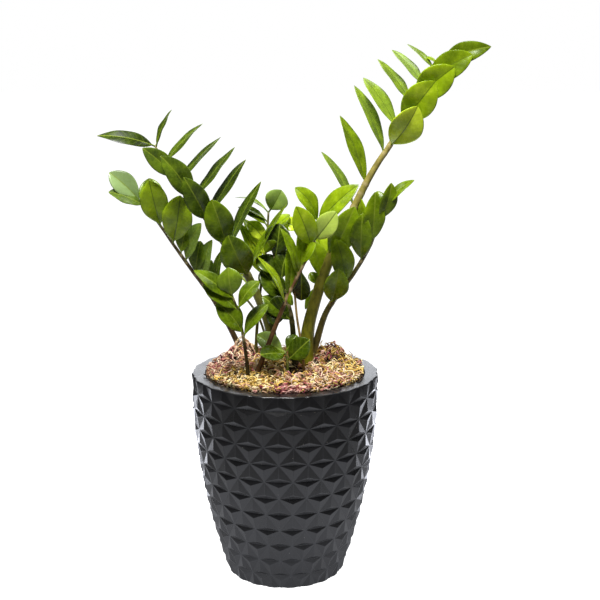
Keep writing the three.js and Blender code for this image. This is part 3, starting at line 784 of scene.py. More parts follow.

# %% [markdown]
# ## The fronds
# A ZZ frond is a swollen, upright leaf stalk with glossy leaflets in two ranks. The table below
# holds the same fronds as the CAD model, with the same stems, so each frond stays where its solid
# is. Some leaflets are a few millimetres wider, narrower or longer, turned otherwise, or have their
# tip nearer to the viewer or further off, and two fronds behind have two leaflets more. A stalk is
# a round tube along a smooth curve through its points. A leaflet is a thin closed blade: a ring
# that runs across the upper face and back along the lower one, carried from its stalk to its tip.

# %% Table of the fronds
# stem: points of the stalk from the moss up. thick and thin: its diameters at the moss and at the
# tip. skin: its colours at the foot and at the tip. A leaflet is
#   [along, lean, length, toward, width, turn, arch, tone, pale]
# along: mm along the stem. lean: degrees to the right of straight up, seen from the front.
# length, width: mm, of the whole blade. toward: mm that its tip comes nearer the viewer. turn:
# degrees that its upper face is turned from the viewer. arch: mm that it bulges. tone: 0 dark to
# 1 bright, partly the leaflet's own green and partly painted light, high on a leaflet lit through
# from behind. pale: share of painted sheen, a greyish pale green standing in for the gloss.
FRONDS = {
    "right_tall_frond": {
        "slot": "young_leaf", "thick": 21, "thin": 4, "skin": ("#7c7e10", "#bca860"),
        "stem": [[30, 17, 301], [32, 18, 345], [43, 20, 390], [61, 23, 443], [79, 26, 485], [99, 30, 525],
                 [115, 33, 557], [131, 36, 584], [146, 38, 606], [176, 43, 664], [209, 46, 710],
                 [216, 47, 720]],
        "leaflets": [
            [150, 24, 86, 12, 36, 0, 4, 0.5, 0], [253, 178, 38, 4, 20, 40, 3, 0.55, 0],
            [118, -14, 60, -8, 30, 40, 3, 0.55, 0], [109, -32, 26, -10, 14, 20, 2, 0.5, 0],
            [114, -150, 44, -6, 16, 60, 3, 0.4, 0],
            [232, -31, 91, -18, 30, 70, 4, 0.5, 0.1], [268, -21, 102, -14, 36, 58, 4, 0.56, 0],
            [317, -24, 104, -18, 36, 64, 4, 0.56, 0.1], [355, -34, 87, -14, 34, 58, 4, 0.6, 0.12],
            [396, -38, 78, -16, 32, 60, 3, 0.6, 0.1], [425, -42, 67, -14, 28, 56, 3, 0.68, 0.3],
            [451, -47, 54, -12, 22, 66, 3, 0.6, 0.1], [460, -56, 21, -6, 9, 60, 1, 0.6, 0],
            [331, 31, 76, 40, 42, 8, 8, 0.98, 0], [366, 36, 80, 38, 42, 0, 8, 0.78, 0],
            [401, 48, 76, 34, 40, -5, 8, 0.72, 0], [430, 57, 76, 30, 35, -12, 9, 0.58, 0],
            [460, 70, 75, 22, 27, -14, 12, 0.42, 0],
        ],
    },
    "left_tall_frond": {
        "slot": "old_leaf", "thick": 18, "thin": 3, "skin": ("#6d6a2c", "#6d7430"),
        "stem": [[-20, 20, 302], [-21, 20, 345], [-37, 21, 391], [-62, 23, 441], [-83, 24, 467],
                 [-108, 26, 501], [-128, 27, 530], [-147, 28, 556], [-168, 29, 584], [-180, 30, 607]],
        "leaflets": [
            [128, -22, 74, 30, 42, -2, 8, 0.3, 0], [180, -14, 78, 30, 37, 10, 8, 0.42, 0],
            [224, -24, 78, 32, 31, 12, 7, 0.26, 0.02], [261, -32, 80, 30, 32, 25, 7, 0.38, 0.03],
            [298, -44, 66, 26, 26, 25, 6, 0.32, 0.05], [350, -79, 81, 14, 24, 46, 8, 0.06, 0],
            [348, 23, 57, -10, 20, -64, 3, 0.24, 0], [323, 44, 77, -14, 26, -66, 3, 0.28, 0],
            [292, 44, 86, -18, 28, -68, 3, 0.22, 0], [258, 38, 96, -20, 30, -68, 3, 0.26, 0],
            [225, 33, 102, -20, 32, -66, 3, 0.2, 0], [175, 26, 106, -20, 32, -68, 3, 0.2, 0],
            [132, 30, 114, -6, 24, -72, 3, 0.36, 0],
        ],
    },
    "left_low_frond": {
        "slot": "old_leaf", "thick": 9, "thin": 3, "skin": ("#55432a", "#635a34"),
        "stem": [[-70, 65, 314], [-79, 64, 334], [-95, 62, 365], [-111, 60, 392], [-135, 55, 427],
                 [-158, 50, 462], [-182, 43, 500], [-202, 38, 526]],
        "leaflets": [
            [252, -44, 61, 10, 30, 20, 5, 0.42, 0.85], [245, -64, 56, 22, 26, 55, 6, 0.3, 0.1],
            [225, -6, 55, -6, 32, 12, 6, 0.5, 0.05], [208, -10, 73, 24, 36, 5, 6, 0.62, 0.02],
            [178, 12, 78, 26, 40, 4, 7, 0.66, 0.02], [158, 15, 45, 6, 24, -25, 4, 0.4, 0],
            [145, 23, 69, 24, 30, -46, 6, 0.42, 0.18], [122, 10, 51, 4, 26, -22, 4, 0.4, 0.05],
            [103, 13, 74, 20, 28, -48, 6, 0.44, 0.18], [91, 8, 47, 2, 20, -35, 4, 0.35, 0.05],
            [69, 8, 82, -6, 26, -62, 6, 0.35, 0],
        ],
    },
    "front_left_frond": {
        "slot": "old_leaf", "thick": 6, "thin": 3, "skin": ("#33280f", "#4a4218"),
        "stem": [[-51, -45, 288], [-51, -46, 309], [-53, -48, 329], [-58, -52, 366], [-63, -55, 391],
                 [-69, -57, 410]],
        "leaflets": [
            [124, -8, 43, 6, 32, 6, 4, 0.4, 0.05], [121, -51, 68, 12, 26, 50, 6, 0.36, 0],
            [104, -50, 60, 10, 28, 46, 6, 0.36, 0], [69, -37, 60, 14, 32, 40, 6, 0.4, 0],
            [104, 36, 50, -4, 28, -56, 6, 0.38, 0], [64, 36, 58, -2, 26, -60, 7, 0.36, 0],
        ],
    },
    "front_middle_frond": {
        "slot": "young_leaf", "thick": 8, "thin": 4, "skin": ("#5f4426", "#86603c"),
        "stem": [[-41, -28, 291], [-28, -28, 324], [-11, -26, 367], [2, -24, 399], [12, -22, 421],
                 [24, -20, 445], [38, -17, 473], [45, -15, 503]],
        "leaflets": [
            [231, -31, 61, 12, 30, 52, 8, 0.62, 0], [228, 44, 81, 14, 30, -38, 6, 0.64, 0],
            [197, -20, 67, 22, 30, 10, 6, 0.76, 0], [206, 35, 56, 20, 28, -10, 5, 0.95, 0.4],
            [151, -18, 74, 8, 22, 60, 7, 0.55, 0], [156, 2, 65, -6, 24, 40, 6, 0.5, 0],
            [120, 0, 72, -10, 22, 35, 6, 0.45, 0], [112, -28, 83, 26, 22, 76, 7, 0.85, 0],
            [165, 180, 52, -18, 24, 10, 3, 0.15, 0], [169, 27, 39, 10, 24, -65, 4, 0.5, 0],
            [132, 173, 22, 8, 12, 40, 2, 0.5, 0],
        ],
    },
    "right_low_frond": {
        "slot": "old_leaf", "thick": 12, "thin": 3.5, "skin": ("#827a42", "#6a6230"),
        "stem": [[38, 38, 303], [44, 38, 322], [58, 33, 368], [76, 29, 398], [97, 24, 428],
                 [120, 19, 470], [128, 17, 495], [138, 15, 521]],
        "leaflets": [
            [85, 9, 64, 30, 33, 6, 5, 0.5, 0], [121, -13, 72, 20, 31, 12, 6, 0.6, 0],
            [161, 0, 72, 16, 29, -10, 6, 0.5, 0], [190, 3, 74, 10, 29, 14, 6, 0.48, 0],
            [223, 16, 58, 10, 24, 25, 5, 0.5, 0], [243, 46, 57, 2, 20, -62, 6, 0.5, 0],
            [228, -5, 38, -8, 22, 10, 4, 0.4, 0],
        ],
    },
    "back_frond": {
        "slot": "young_leaf", "thick": 5, "thin": 3, "skin": ("#5c5520", "#6b6a2a"),
        "stem": [[-43, 47, 307], [-42, 48, 332], [-40, 50, 357], [-37, 53, 390], [-32, 56, 426],
                 [-27, 59, 462], [-24, 62, 510]],
        "leaflets": [
            [204, 30, 38, 6, 32, 10, 4, 0.6, 0.3], [203, -66, 53, -4, 18, 80, 7, 0.6, 0.1],
            [189, -62, 49, 6, 20, 74, 6, 0.5, 0], [182, -53, 40, 10, 22, 66, 5, 0.5, 0],
            [157, -39, 44, 4, 26, 45, 5, 1.0, 0], [164, 42, 51, 8, 26, -50, 6, 0.6, 0],
            [138, -29, 64, -10, 24, 55, 6, 0.95, 0], [77, -42, 71, 2, 20, 74, 7, 0.95, 0],
            [118, -26, 84, 4, 20, 40, 5, 0.85, 0], [112, -18, 62, -4, 18, -40, 5, 1.0, 0],
        ],
    },
    "middle_frond": {
        "slot": "old_leaf", "thick": 10, "thin": 4, "skin": ("#3c3a14", "#4a4a1a"),
        "stem": [[14, 9, 302], [12, 11, 334], [9, 13, 365], [4, 16, 386], [-3, 20, 412], [-17, 28, 460]],
        "leaflets": [
            [152, 8, 50, 4, 36, -10, 6, 0.05, 0], [121, -51, 46, -6, 28, 40, 6, 0.2, 0],
            [117, 14, 47, -4, 28, -20, 6, 0.2, 0], [70, -75, 36, 4, 40, 15, 5, 0.0, 0],
            [96, -34, 35, 10, 20, 60, 4, 0.2, 0], [105, -59, 44, -14, 26, 20, 6, 0.15, 0],
            [163, -30, 24, 16, 20, 20, 4, 0.4, 0], [82, -38, 64, -10, 30, 25, 5, 0.2, 0],
            [58, -48, 56, 2, 26, 30, 5, 0.3, 0],
        ],
    },
    "back_right_frond": {
        "slot": "young_leaf", "thick": 6, "thin": 3, "skin": ("#5c5520", "#6b6a2a"),
        "stem": [[37, 52, 306], [41, 52, 351], [49, 53, 394], [54, 54, 427], [51, 55, 456],
                 [38, 57, 476], [25, 58, 486]],
        "leaflets": [
            [190, -68, 34, 0, 20, 30, 4, 0.95, 0], [180, 5, 32, 4, 18, -20, 4, 0.95, 0],
            [150, -29, 50, 0, 28, 30, 6, 0.8, 0], [135, 23, 54, 0, 30, -20, 5, 0.8, 0],
        ],
    },
    "low_front_frond": {
        "slot": "young_leaf", "thick": 4, "thin": 3, "skin": ("#6a7a2a", "#7d8f36"),
        "stem": [[4, -14, 297], [3, -16, 313], [0, -18, 325]],
        "leaflets": [
            [26, -58, 47, -8, 24, 20, 3, 0.45, 0.35], [25, -77, 50, 36, 26, 62, 3, 0.28, 0],
            [14, 43, 47, 12, 30, -25, 4, 0.2, 0], [26, 35, 30, -10, 18, -25, 3, 0.2, 0],
        ],
    },
    "front_dry_stalk": {
        "slot": "dried_stalk", "thick": 4, "thin": 3, "skin": ("#a98a55", "#b99b62"),
        "stem": [[27, -15, 291], [25, -14, 317], [21, -13, 346], [17, -12, 371], [13, -10, 415]],
        "leaflets": [],
    },
    "back_dry_stalk": {
        "slot": "dried_stalk", "thick": 4, "thin": 3, "skin": ("#7c7a52", "#8a8658"),
        "stem": [[-25, 36, 313], [-31, 36, 341], [-41, 36, 367], [-63, 36, 398]],
        "leaflets": [],
    },
}
print("fronds", len(FRONDS), "leaflets", sum(len(frond["leaflets"]) for frond in FRONDS.values()))

# %% A smooth curve through the stem's points
CURVE_STEPS = 60


def stem_curve(points):
    """A centripetal Catmull-Rom curve: each piece is a cubic whose end slopes come from the points
    beside it, with steps of time as the square root of distance. Returns distances and places."""
    knots = np.array(points, float)
    knots = np.concatenate([[2 * knots[0] - knots[1]], knots, [2 * knots[-1] - knots[-2]]])
    p0, p1, p2, p3 = knots[:-3], knots[1:-2], knots[2:-1], knots[3:]
    t0, t1, t2 = [np.sqrt(np.linalg.norm(after - before, axis=1))[:, None]
                  for before, after in ((p0, p1), (p1, p2), (p2, p3))]
    slope_in = ((p1 - p0) / t0 - (p2 - p0) / (t0 + t1) + (p2 - p1) / t1) * t1
    slope_out = ((p2 - p1) / t1 - (p3 - p1) / (t1 + t2) + (p3 - p2) / t2) * t1
    w = (np.arange(CURVE_STEPS) / CURVE_STEPS)[None, :, None]
    cubic = (p1[:, None] + slope_in[:, None] * w
             + (3 * (p2 - p1) - 2 * slope_in - slope_out)[:, None] * w**2
             + (2 * (p1 - p2) + slope_in + slope_out)[:, None] * w**3)
    places = np.concatenate([cubic.reshape(-1, 3), knots[-2:-1]])
    far = np.concatenate([[0], np.cumsum(np.linalg.norm(np.diff(places, axis=0), axis=1))])
    return far, places


def at_distance(curve, distance):
    """Place on a curve at a distance from its start, by straight interpolation."""
    far, places = curve
    return np.stack([np.interp(distance, far, places[:, axis]) for axis in range(3)], axis=-1)


# %% A round stalk
ROOT_BOTTOM = 226
ROOT_MIDDLE = 250
ROOT_TOP = 12         # below the stem's first point
THINNING = 0.75
STALK_STEP = 3.5
FEWEST_STEPS = 8
STALK_AROUND = 20
NODE_WIDTH = 2.2      # half length of the swelling at a leaflet
NODE_SWELLING = 0.09
SWELLS_FROM = 3.2     # a stalk thinner than this doesn't swell
NO_NODE = -99.0       # a place off the stalk, for one that has no leaflets
RINGED = (0.3, 0.5)   # shares of the stalk at which its node rings begin to pale, and are pale


def stalk_points(frond, curve):
    """A circle carried along the curve. Its diameter goes from thick to thin as share ^ 0.75, with
    a small bell at each leaflet, and a straight root goes down into the soil."""
    total = curve[0][-1]
    runs = np.linspace(0, total, max(FEWEST_STEPS, int(total / STALK_STEP)))
    middle = at_distance(curve, runs)
    width = frond["thick"] + (frond["thin"] - frond["thick"]) * (runs / total) ** THINNING
    nodes = np.array([row[0] for row in frond["leaflets"]] or [NO_NODE])
    bells = np.exp(-(((runs[:, None] - nodes[None]) / NODE_WIDTH) ** 2)).max(1)
    swelling = 1 + NODE_SWELLING * bells * (width > SWELLS_FROM)
    root_heights = (ROOT_BOTTOM, ROOT_MIDDLE, middle[0, 2] - ROOT_TOP)
    root = np.array([[middle[0, 0], middle[0, 1], z] for z in root_heights])
    middle = np.concatenate([root, middle])
    radius = np.concatenate([[width[0]] * len(root), width * swelling]) / 2
    heading = np.gradient(middle, axis=0)
    heading /= np.linalg.norm(heading, axis=1, keepdims=True)
    right = np.array([1.0, 0, 0]) - heading * heading[:, :1]
    right /= np.linalg.norm(right, axis=1, keepdims=True)
    back = np.cross(heading, right)
    turn = (np.arange(STALK_AROUND) * 2 * math.pi / STALK_AROUND)[None, :, None]
    circle = right[:, None] * np.cos(turn) + back[:, None] * np.sin(turn)
    rings = (middle[:, None] + circle * radius[:, None, None])[None]
    points, faces = closed_tubes(rings, middle[None, 0], middle[None, -1])
    shape = rings.shape[:3]
    on_root = np.zeros(len(root))
    share = np.concatenate([on_root, runs / total])
    ring = np.concatenate([on_root, bells * smoothstep(runs / total, *RINGED)])
    marks = {
        "share": on_tubes(share[None, :, None], shape),
        "node_ring": on_tubes(ring[None, :, None], shape),
    }
    return points, faces, marks


# %% [markdown]
# ### Skin of the stalks
# A ZZ stalk is smooth and green, mottled with darker flecks that stretch along it, with a pale ring
# where a leaflet leaves it. It dries to straw. The colour runs from foot to tip, and the flecks are
# noise on coordinates that count height only half, so a fleck is twice as long as it is wide.

# %% Material of the stalks
STALK_FLECK = 5.0              # mm across a fleck
FLECK_STRETCH = (1.0, 1.0, 0.5)
STALK_IOR = 1.36               # of moist plant tissue
RING_PALENESS = 0.6
WAXY_STALK = 0.42              # roughness of a green stalk
DRY_STRAW = 0.75               # and of a dried one


def stalk_skin(name, foot, tip, roughness):
    """Waxy plant skin with a soft sheen, or dull straw where it is rough."""
    made, tree = bare_material(name)
    place = add_node(tree, "ShaderNodeTexCoord").outputs["Object"]
    long = add_node(tree, "ShaderNodeMapping", {"Vector": place, "Scale": FLECK_STRETCH})
    flecks = add_node(tree, "ShaderNodeTexNoise",
                      {"Vector": long.outputs[0], "Scale": per_metre(STALK_FLECK), "Detail": 3.0,
                       "Roughness": 0.6})
    share = add_node(tree, "ShaderNodeAttribute", attribute_type="GEOMETRY", attribute_name="share")
    along = add_node(tree, "ShaderNodeMix",
                     {"Factor": share.outputs["Fac"], 6: to_linear(foot), 7: to_linear(tip)},
                     data_type="RGBA")
    fleck = add_node(tree, "ShaderNodeValToRGB", {0: flecks.outputs[0]},
                     stops=[(0.36, "#c4c4c4"), (0.52, "#eeeeee"), (0.7, "#ffffff")])
    mottled = add_node(tree, "ShaderNodeMix", {"Factor": 1.0, 6: along.outputs[2], 7: fleck.outputs[0]},
                       data_type="RGBA", blend_type="MULTIPLY")
    ring = add_node(tree, "ShaderNodeAttribute", attribute_type="GEOMETRY", attribute_name="node_ring")
    faint = add_node(tree, "ShaderNodeMath", {0: ring.outputs["Fac"], 1: RING_PALENESS},
                     operation="MULTIPLY")
    ringed = add_node(tree, "ShaderNodeMix",
                      {"Factor": faint.outputs[0], 6: mottled.outputs[2], 7: to_linear("#c4b184")},
                      data_type="RGBA")
    bump = add_node(tree, "ShaderNodeBump",
                    {"Height": flecks.outputs[0], "Strength": 0.12, "Distance": 0.0005})
    shader = add_node(tree, "ShaderNodeBsdfPrincipled",
                      {"Base Color": ringed.outputs[2], "Roughness": roughness, "IOR": STALK_IOR,
                       "Normal": bump.outputs[0]})
    add_node(tree, "ShaderNodeOutputMaterial", {"Surface": shader.outputs[0]})
    return made


# %% [markdown]
# ### Leaflets
# A leaflet is leathery and glossy, oval with a short point, cupped along a midrib that is sunk in
# the upper face and proud on the lower one. It could be a flat plane with a picture; a closed blade
# with a rounded margin catches light along its edge instead. The outline is a beta curve, s ^ a
# (1 - s) ^ b. Stout leaflets are fullest past their middle and blunt, slim ones come to a long point.

# %% Shape of a leaflet
BLADE = 0.7                 # thickness of a blade
STALK_LENGTH = 5            # of a leaflet's own little stalk
STALK_WIDTH = 2.6
STALK_HALF = 1.2            # half the thickness of that stalk
SUNK = 0.6                  # how far it starts inside the frond's stalk
THIN_FROM, THIN_AT = 0.6 * STALK_LENGTH, STALK_LENGTH + 7    # where the stalk has become a blade
WIDENS_UNTIL = 0.6          # share of the blade along which the stalk's width dies away
FACED_FOLD = (0.22, 0.42)   # rise of the edges as a share of the half width, least and most
SIDE_FOLD = (0.06, 0.2)     # the same for leaflets that stand edge on to the viewer
EDGE_ON = 45                # degrees of turn from which a leaflet counts as edge on
FOLD_ROUND = 0.01           # rounds the fold where both halves of the blade meet
EDGE_EASE = 0.35            # share of the rise that the margin loses again, so it lies flatter
SLIM, STOUT = 0.28, 0.48    # width against length of a slim leaflet and of a stout one
BASE_POWERS = (0.72, 0.95)  # slim, stout
TIP_POWERS = (0.95, 0.72)
FULLER = 1.08               # blade width against the table's, which the fold takes back
GROOVE_DEPTH, GROOVE_WIDTH = 0.5, 0.9     # of the midrib on the upper face
KEEL_HEIGHT, KEEL_WIDTH = 0.55, 1.3       # and on the lower one
WAVES = (1.2, 2.6)          # waves along a margin
PHASES = 6.28               # radians, about a full turn
MARGIN_SHIFT = 1.5          # radians, at most, that each margin's waves are shifted
RUFFLE, RUFFLE_AT = (0.3, 0.9), 12        # height of the waves on a margin that far from the midrib
SIDE_BEND = 2.2             # how far a leaflet's middle may bend sideways
TWIST, TWIST_FROM = 0.16, 0.35            # radians at most, and the share where there is none
BLADE_ROWS = 24
UPPER = np.array([-1, -0.93, -0.78, -0.52, -0.26, -0.09, 0, 0.09, 0.26, 0.52, 0.78, 0.93])
ACROSS = np.concatenate([UPPER, -UPPER])
FACE = np.concatenate([np.ones(len(UPPER)), -np.ones(len(UPPER))])


def outline(share, stoutness):
    """Half width of a leaflet as a share of its widest, from stalk (0) to tip (1): s ^ a (1 - s) ^ b,
    with powers a and b between those of a slim leaflet and of a stout one."""
    base = BASE_POWERS[0] + (BASE_POWERS[1] - BASE_POWERS[0]) * stoutness
    tip = TIP_POWERS[0] + (TIP_POWERS[1] - TIP_POWERS[0]) * stoutness
    widest = base / (base + tip)
    most = widest**base * (1 - widest) ** tip
    return share**base * (1 - share) ** tip / most


def leaflet_frames(frond, curve):
    """Start, axis, upper normal and side of each leaflet, from its lean, reach and turn."""
    table = np.array([row[:7] for row in frond["leaflets"]], float)
    along, lean, length, toward, width, turn, arch = table.T
    start = at_distance(curve, np.minimum(along, curve[0][-1]))
    level = np.sqrt(length**2 - toward**2)
    lean, turn = np.radians(lean), np.radians(turn)[:, None]
    axis = np.stack([level * np.sin(lean), -toward, level * np.cos(lean)], axis=1)
    axis /= np.linalg.norm(axis, axis=1, keepdims=True)
    facing = np.array([0, -1.0, 0]) + axis * axis[:, 1:2]
    facing /= np.linalg.norm(facing, axis=1, keepdims=True)
    normal = facing * np.cos(turn) + np.cross(axis, facing) * np.sin(turn)
    return start, axis, normal, np.cross(axis, normal), length, width, arch


# %% Where a leaflet's rows lie, how wide they are and how thick
def leaflet_rows(length, width):
    """Rows of each leaflet as shares of its length (three on its stalk, then closer together
    towards both ends of the blade), shares of the blade alone, half widths in mm, and how far the
    stalk has become a blade."""
    stalk = (STALK_LENGTH / length)[:, None]
    blade = (1 - np.cos(math.pi * (np.arange(BLADE_ROWS) + 0.35) / (BLADE_ROWS - 0.3))) / 2
    blade = np.clip(blade, 0.002, 0.997)[None]
    along = np.concatenate([stalk * 0, stalk * 0.5, stalk * 0.9, stalk + (1 - stalk) * blade], axis=1)
    bladed = np.concatenate([np.zeros((len(length), 3)), np.ones_like(stalk) * blade], axis=1)
    stoutness = np.clip((width / length - SLIM) / (STOUT - SLIM), 0, 1)[:, None]
    half = np.maximum(outline(bladed, stoutness) * FULLER * width[:, None] / 2,
                      STALK_WIDTH / 2 * smoothstep(bladed, WIDENS_UNTIL, 0.0))
    thin = smoothstep(along * length[:, None], THIN_FROM, THIN_AT)
    return [part[:, :, None] for part in (along, bladed, half, thin)]


def half_thickness(bladed, half, thin):
    """Half the thickness round a row: a circle's on the stalk, (1 - u ^ 6) ^ 0.5 of a blade's
    beyond it, plus a keel under the midrib. It closes over the last part of the tip."""
    round_half = STALK_HALF * np.sqrt(np.clip(1 - ACROSS**2, 0, 1))
    keel = KEEL_HEIGHT * np.exp(-((ACROSS * half / KEEL_WIDTH) ** 2)) * (FACE < 0) * (1 - bladed)
    blade_half = BLADE / 2 * np.clip(1 - ACROSS**6, 0, 1) ** 0.5 + keel
    closing = np.minimum(1, (1.02 - bladed) * 12)
    return (round_half * (1 - thin) + blade_half * thin) * closing


# %% Points of all leaflets of a frond
def leaflet_points(frond, curve, dice):
    """Rings across both faces, carried along the midrib, which bulges by 4 arch q (1 - q). The
    blade folds up on both sides of it, with a groove between, and slow waves ruffle the margin.
    Each leaflet bends sideways a little and twists towards its tip."""
    start, axis, normal, side, length, width, arch = leaflet_frames(frond, curve)
    q, bladed, half, thin = leaflet_rows(length, width)
    each = (len(length), 1, 1)
    sideways = ACROSS * half
    waves = dice.uniform(*WAVES, each) * 2 * math.pi * q + dice.uniform(0, PHASES, each)
    waves = np.sin(waves + np.sign(ACROSS) * dice.uniform(0, MARGIN_SHIFT, each))
    ruffle = dice.uniform(*RUFFLE, each) * waves * ACROSS**2 * half / RUFFLE_AT
    faced = np.array([abs(row[5]) < EDGE_ON for row in frond["leaflets"]])[:, None, None]
    fold = np.where(faced, dice.uniform(*FACED_FOLD, each), dice.uniform(*SIDE_FOLD, each))
    cup = fold * half * (np.sqrt(ACROSS**2 + FOLD_ROUND) - EDGE_EASE * ACROSS**4)
    groove = -GROOVE_DEPTH * np.exp(-((sideways / GROOVE_WIDTH) ** 2)) * thin * (1 - bladed)
    bend = dice.uniform(-SIDE_BEND, SIDE_BEND, each) * 4 * q * (1 - q)
    twist = dice.uniform(-TWIST, TWIST, each) * (q - TWIST_FROM) * 2
    rise = cup + groove + ruffle + FACE * half_thickness(bladed, half, thin)
    out = sideways * np.cos(twist) - rise * np.sin(twist) + bend
    up = sideways * np.sin(twist) + rise * np.cos(twist) + 4 * arch[:, None, None] * q * (1 - q)
    along_mm = length[:, None, None] * q
    rings = (start[:, None, None] + axis[:, None, None] * along_mm[..., None]
             + side[:, None, None] * out[..., None] + normal[:, None, None] * up[..., None])
    points, faces = closed_tubes(rings, start - axis * SUNK, start + axis * length[:, None])
    shape = rings.shape[:3]
    looks = np.array([row[7:9] for row in frond["leaflets"]])
    marks = {
        "across_mm": on_tubes(sideways, shape),
        "along_mm": on_tubes(along_mm, shape),
        "underside": on_tubes((FACE < 0) * np.ones(shape), shape),
        "tone": on_tubes(looks[:, 0][:, None, None], shape),
        "pale": on_tubes(looks[:, 1][:, None, None], shape),
        "own": on_tubes(dice.uniform(0, 1, each), shape),
    }
    return points, faces, marks


# %% Material of the leaflets
VEIN_SPACING = 8.0             # mm between side veins
VEIN_SWEEP = -0.9              # a side vein runs 0.9 mm towards the tip for each mm outwards
VEIN_WANDER = 7.0              # mm that the clouds push it along the leaflet
VEIN_FROM = 0.55               # a vein shows where its wave is above this
VEIN_COVER = 0.13
VEIN_SINKING = -0.6
LEAF_CLOUD = 15                # mm
LEAF_MOTTLE = 4.5              # mm
CLOUD_TONE = 0.12              # how far clouds shift the tone, up and down
MOTTLE_TONE = 0.03
OWN_TONE = 0.07                # and how far it differs from leaflet to leaflet
UNDERSIDE_PALENESS = 0.3
RIB_EDGE = (0.4, 1.0)          # mm from the midrib's middle where its colour begins to fade, is gone
RIB_COVER = 0.7
RIB_SHADE_TONE = (0.5, 0.62)       # tones over which the midrib turns from its own pale green to painted shade of its sunk groove, darker than the blade
WAX_ROUGHNESS = (0.2, 0.32)    # least and most, by mottling
LEAF_IOR = 1.4                 # of moist plant tissue under thin wax


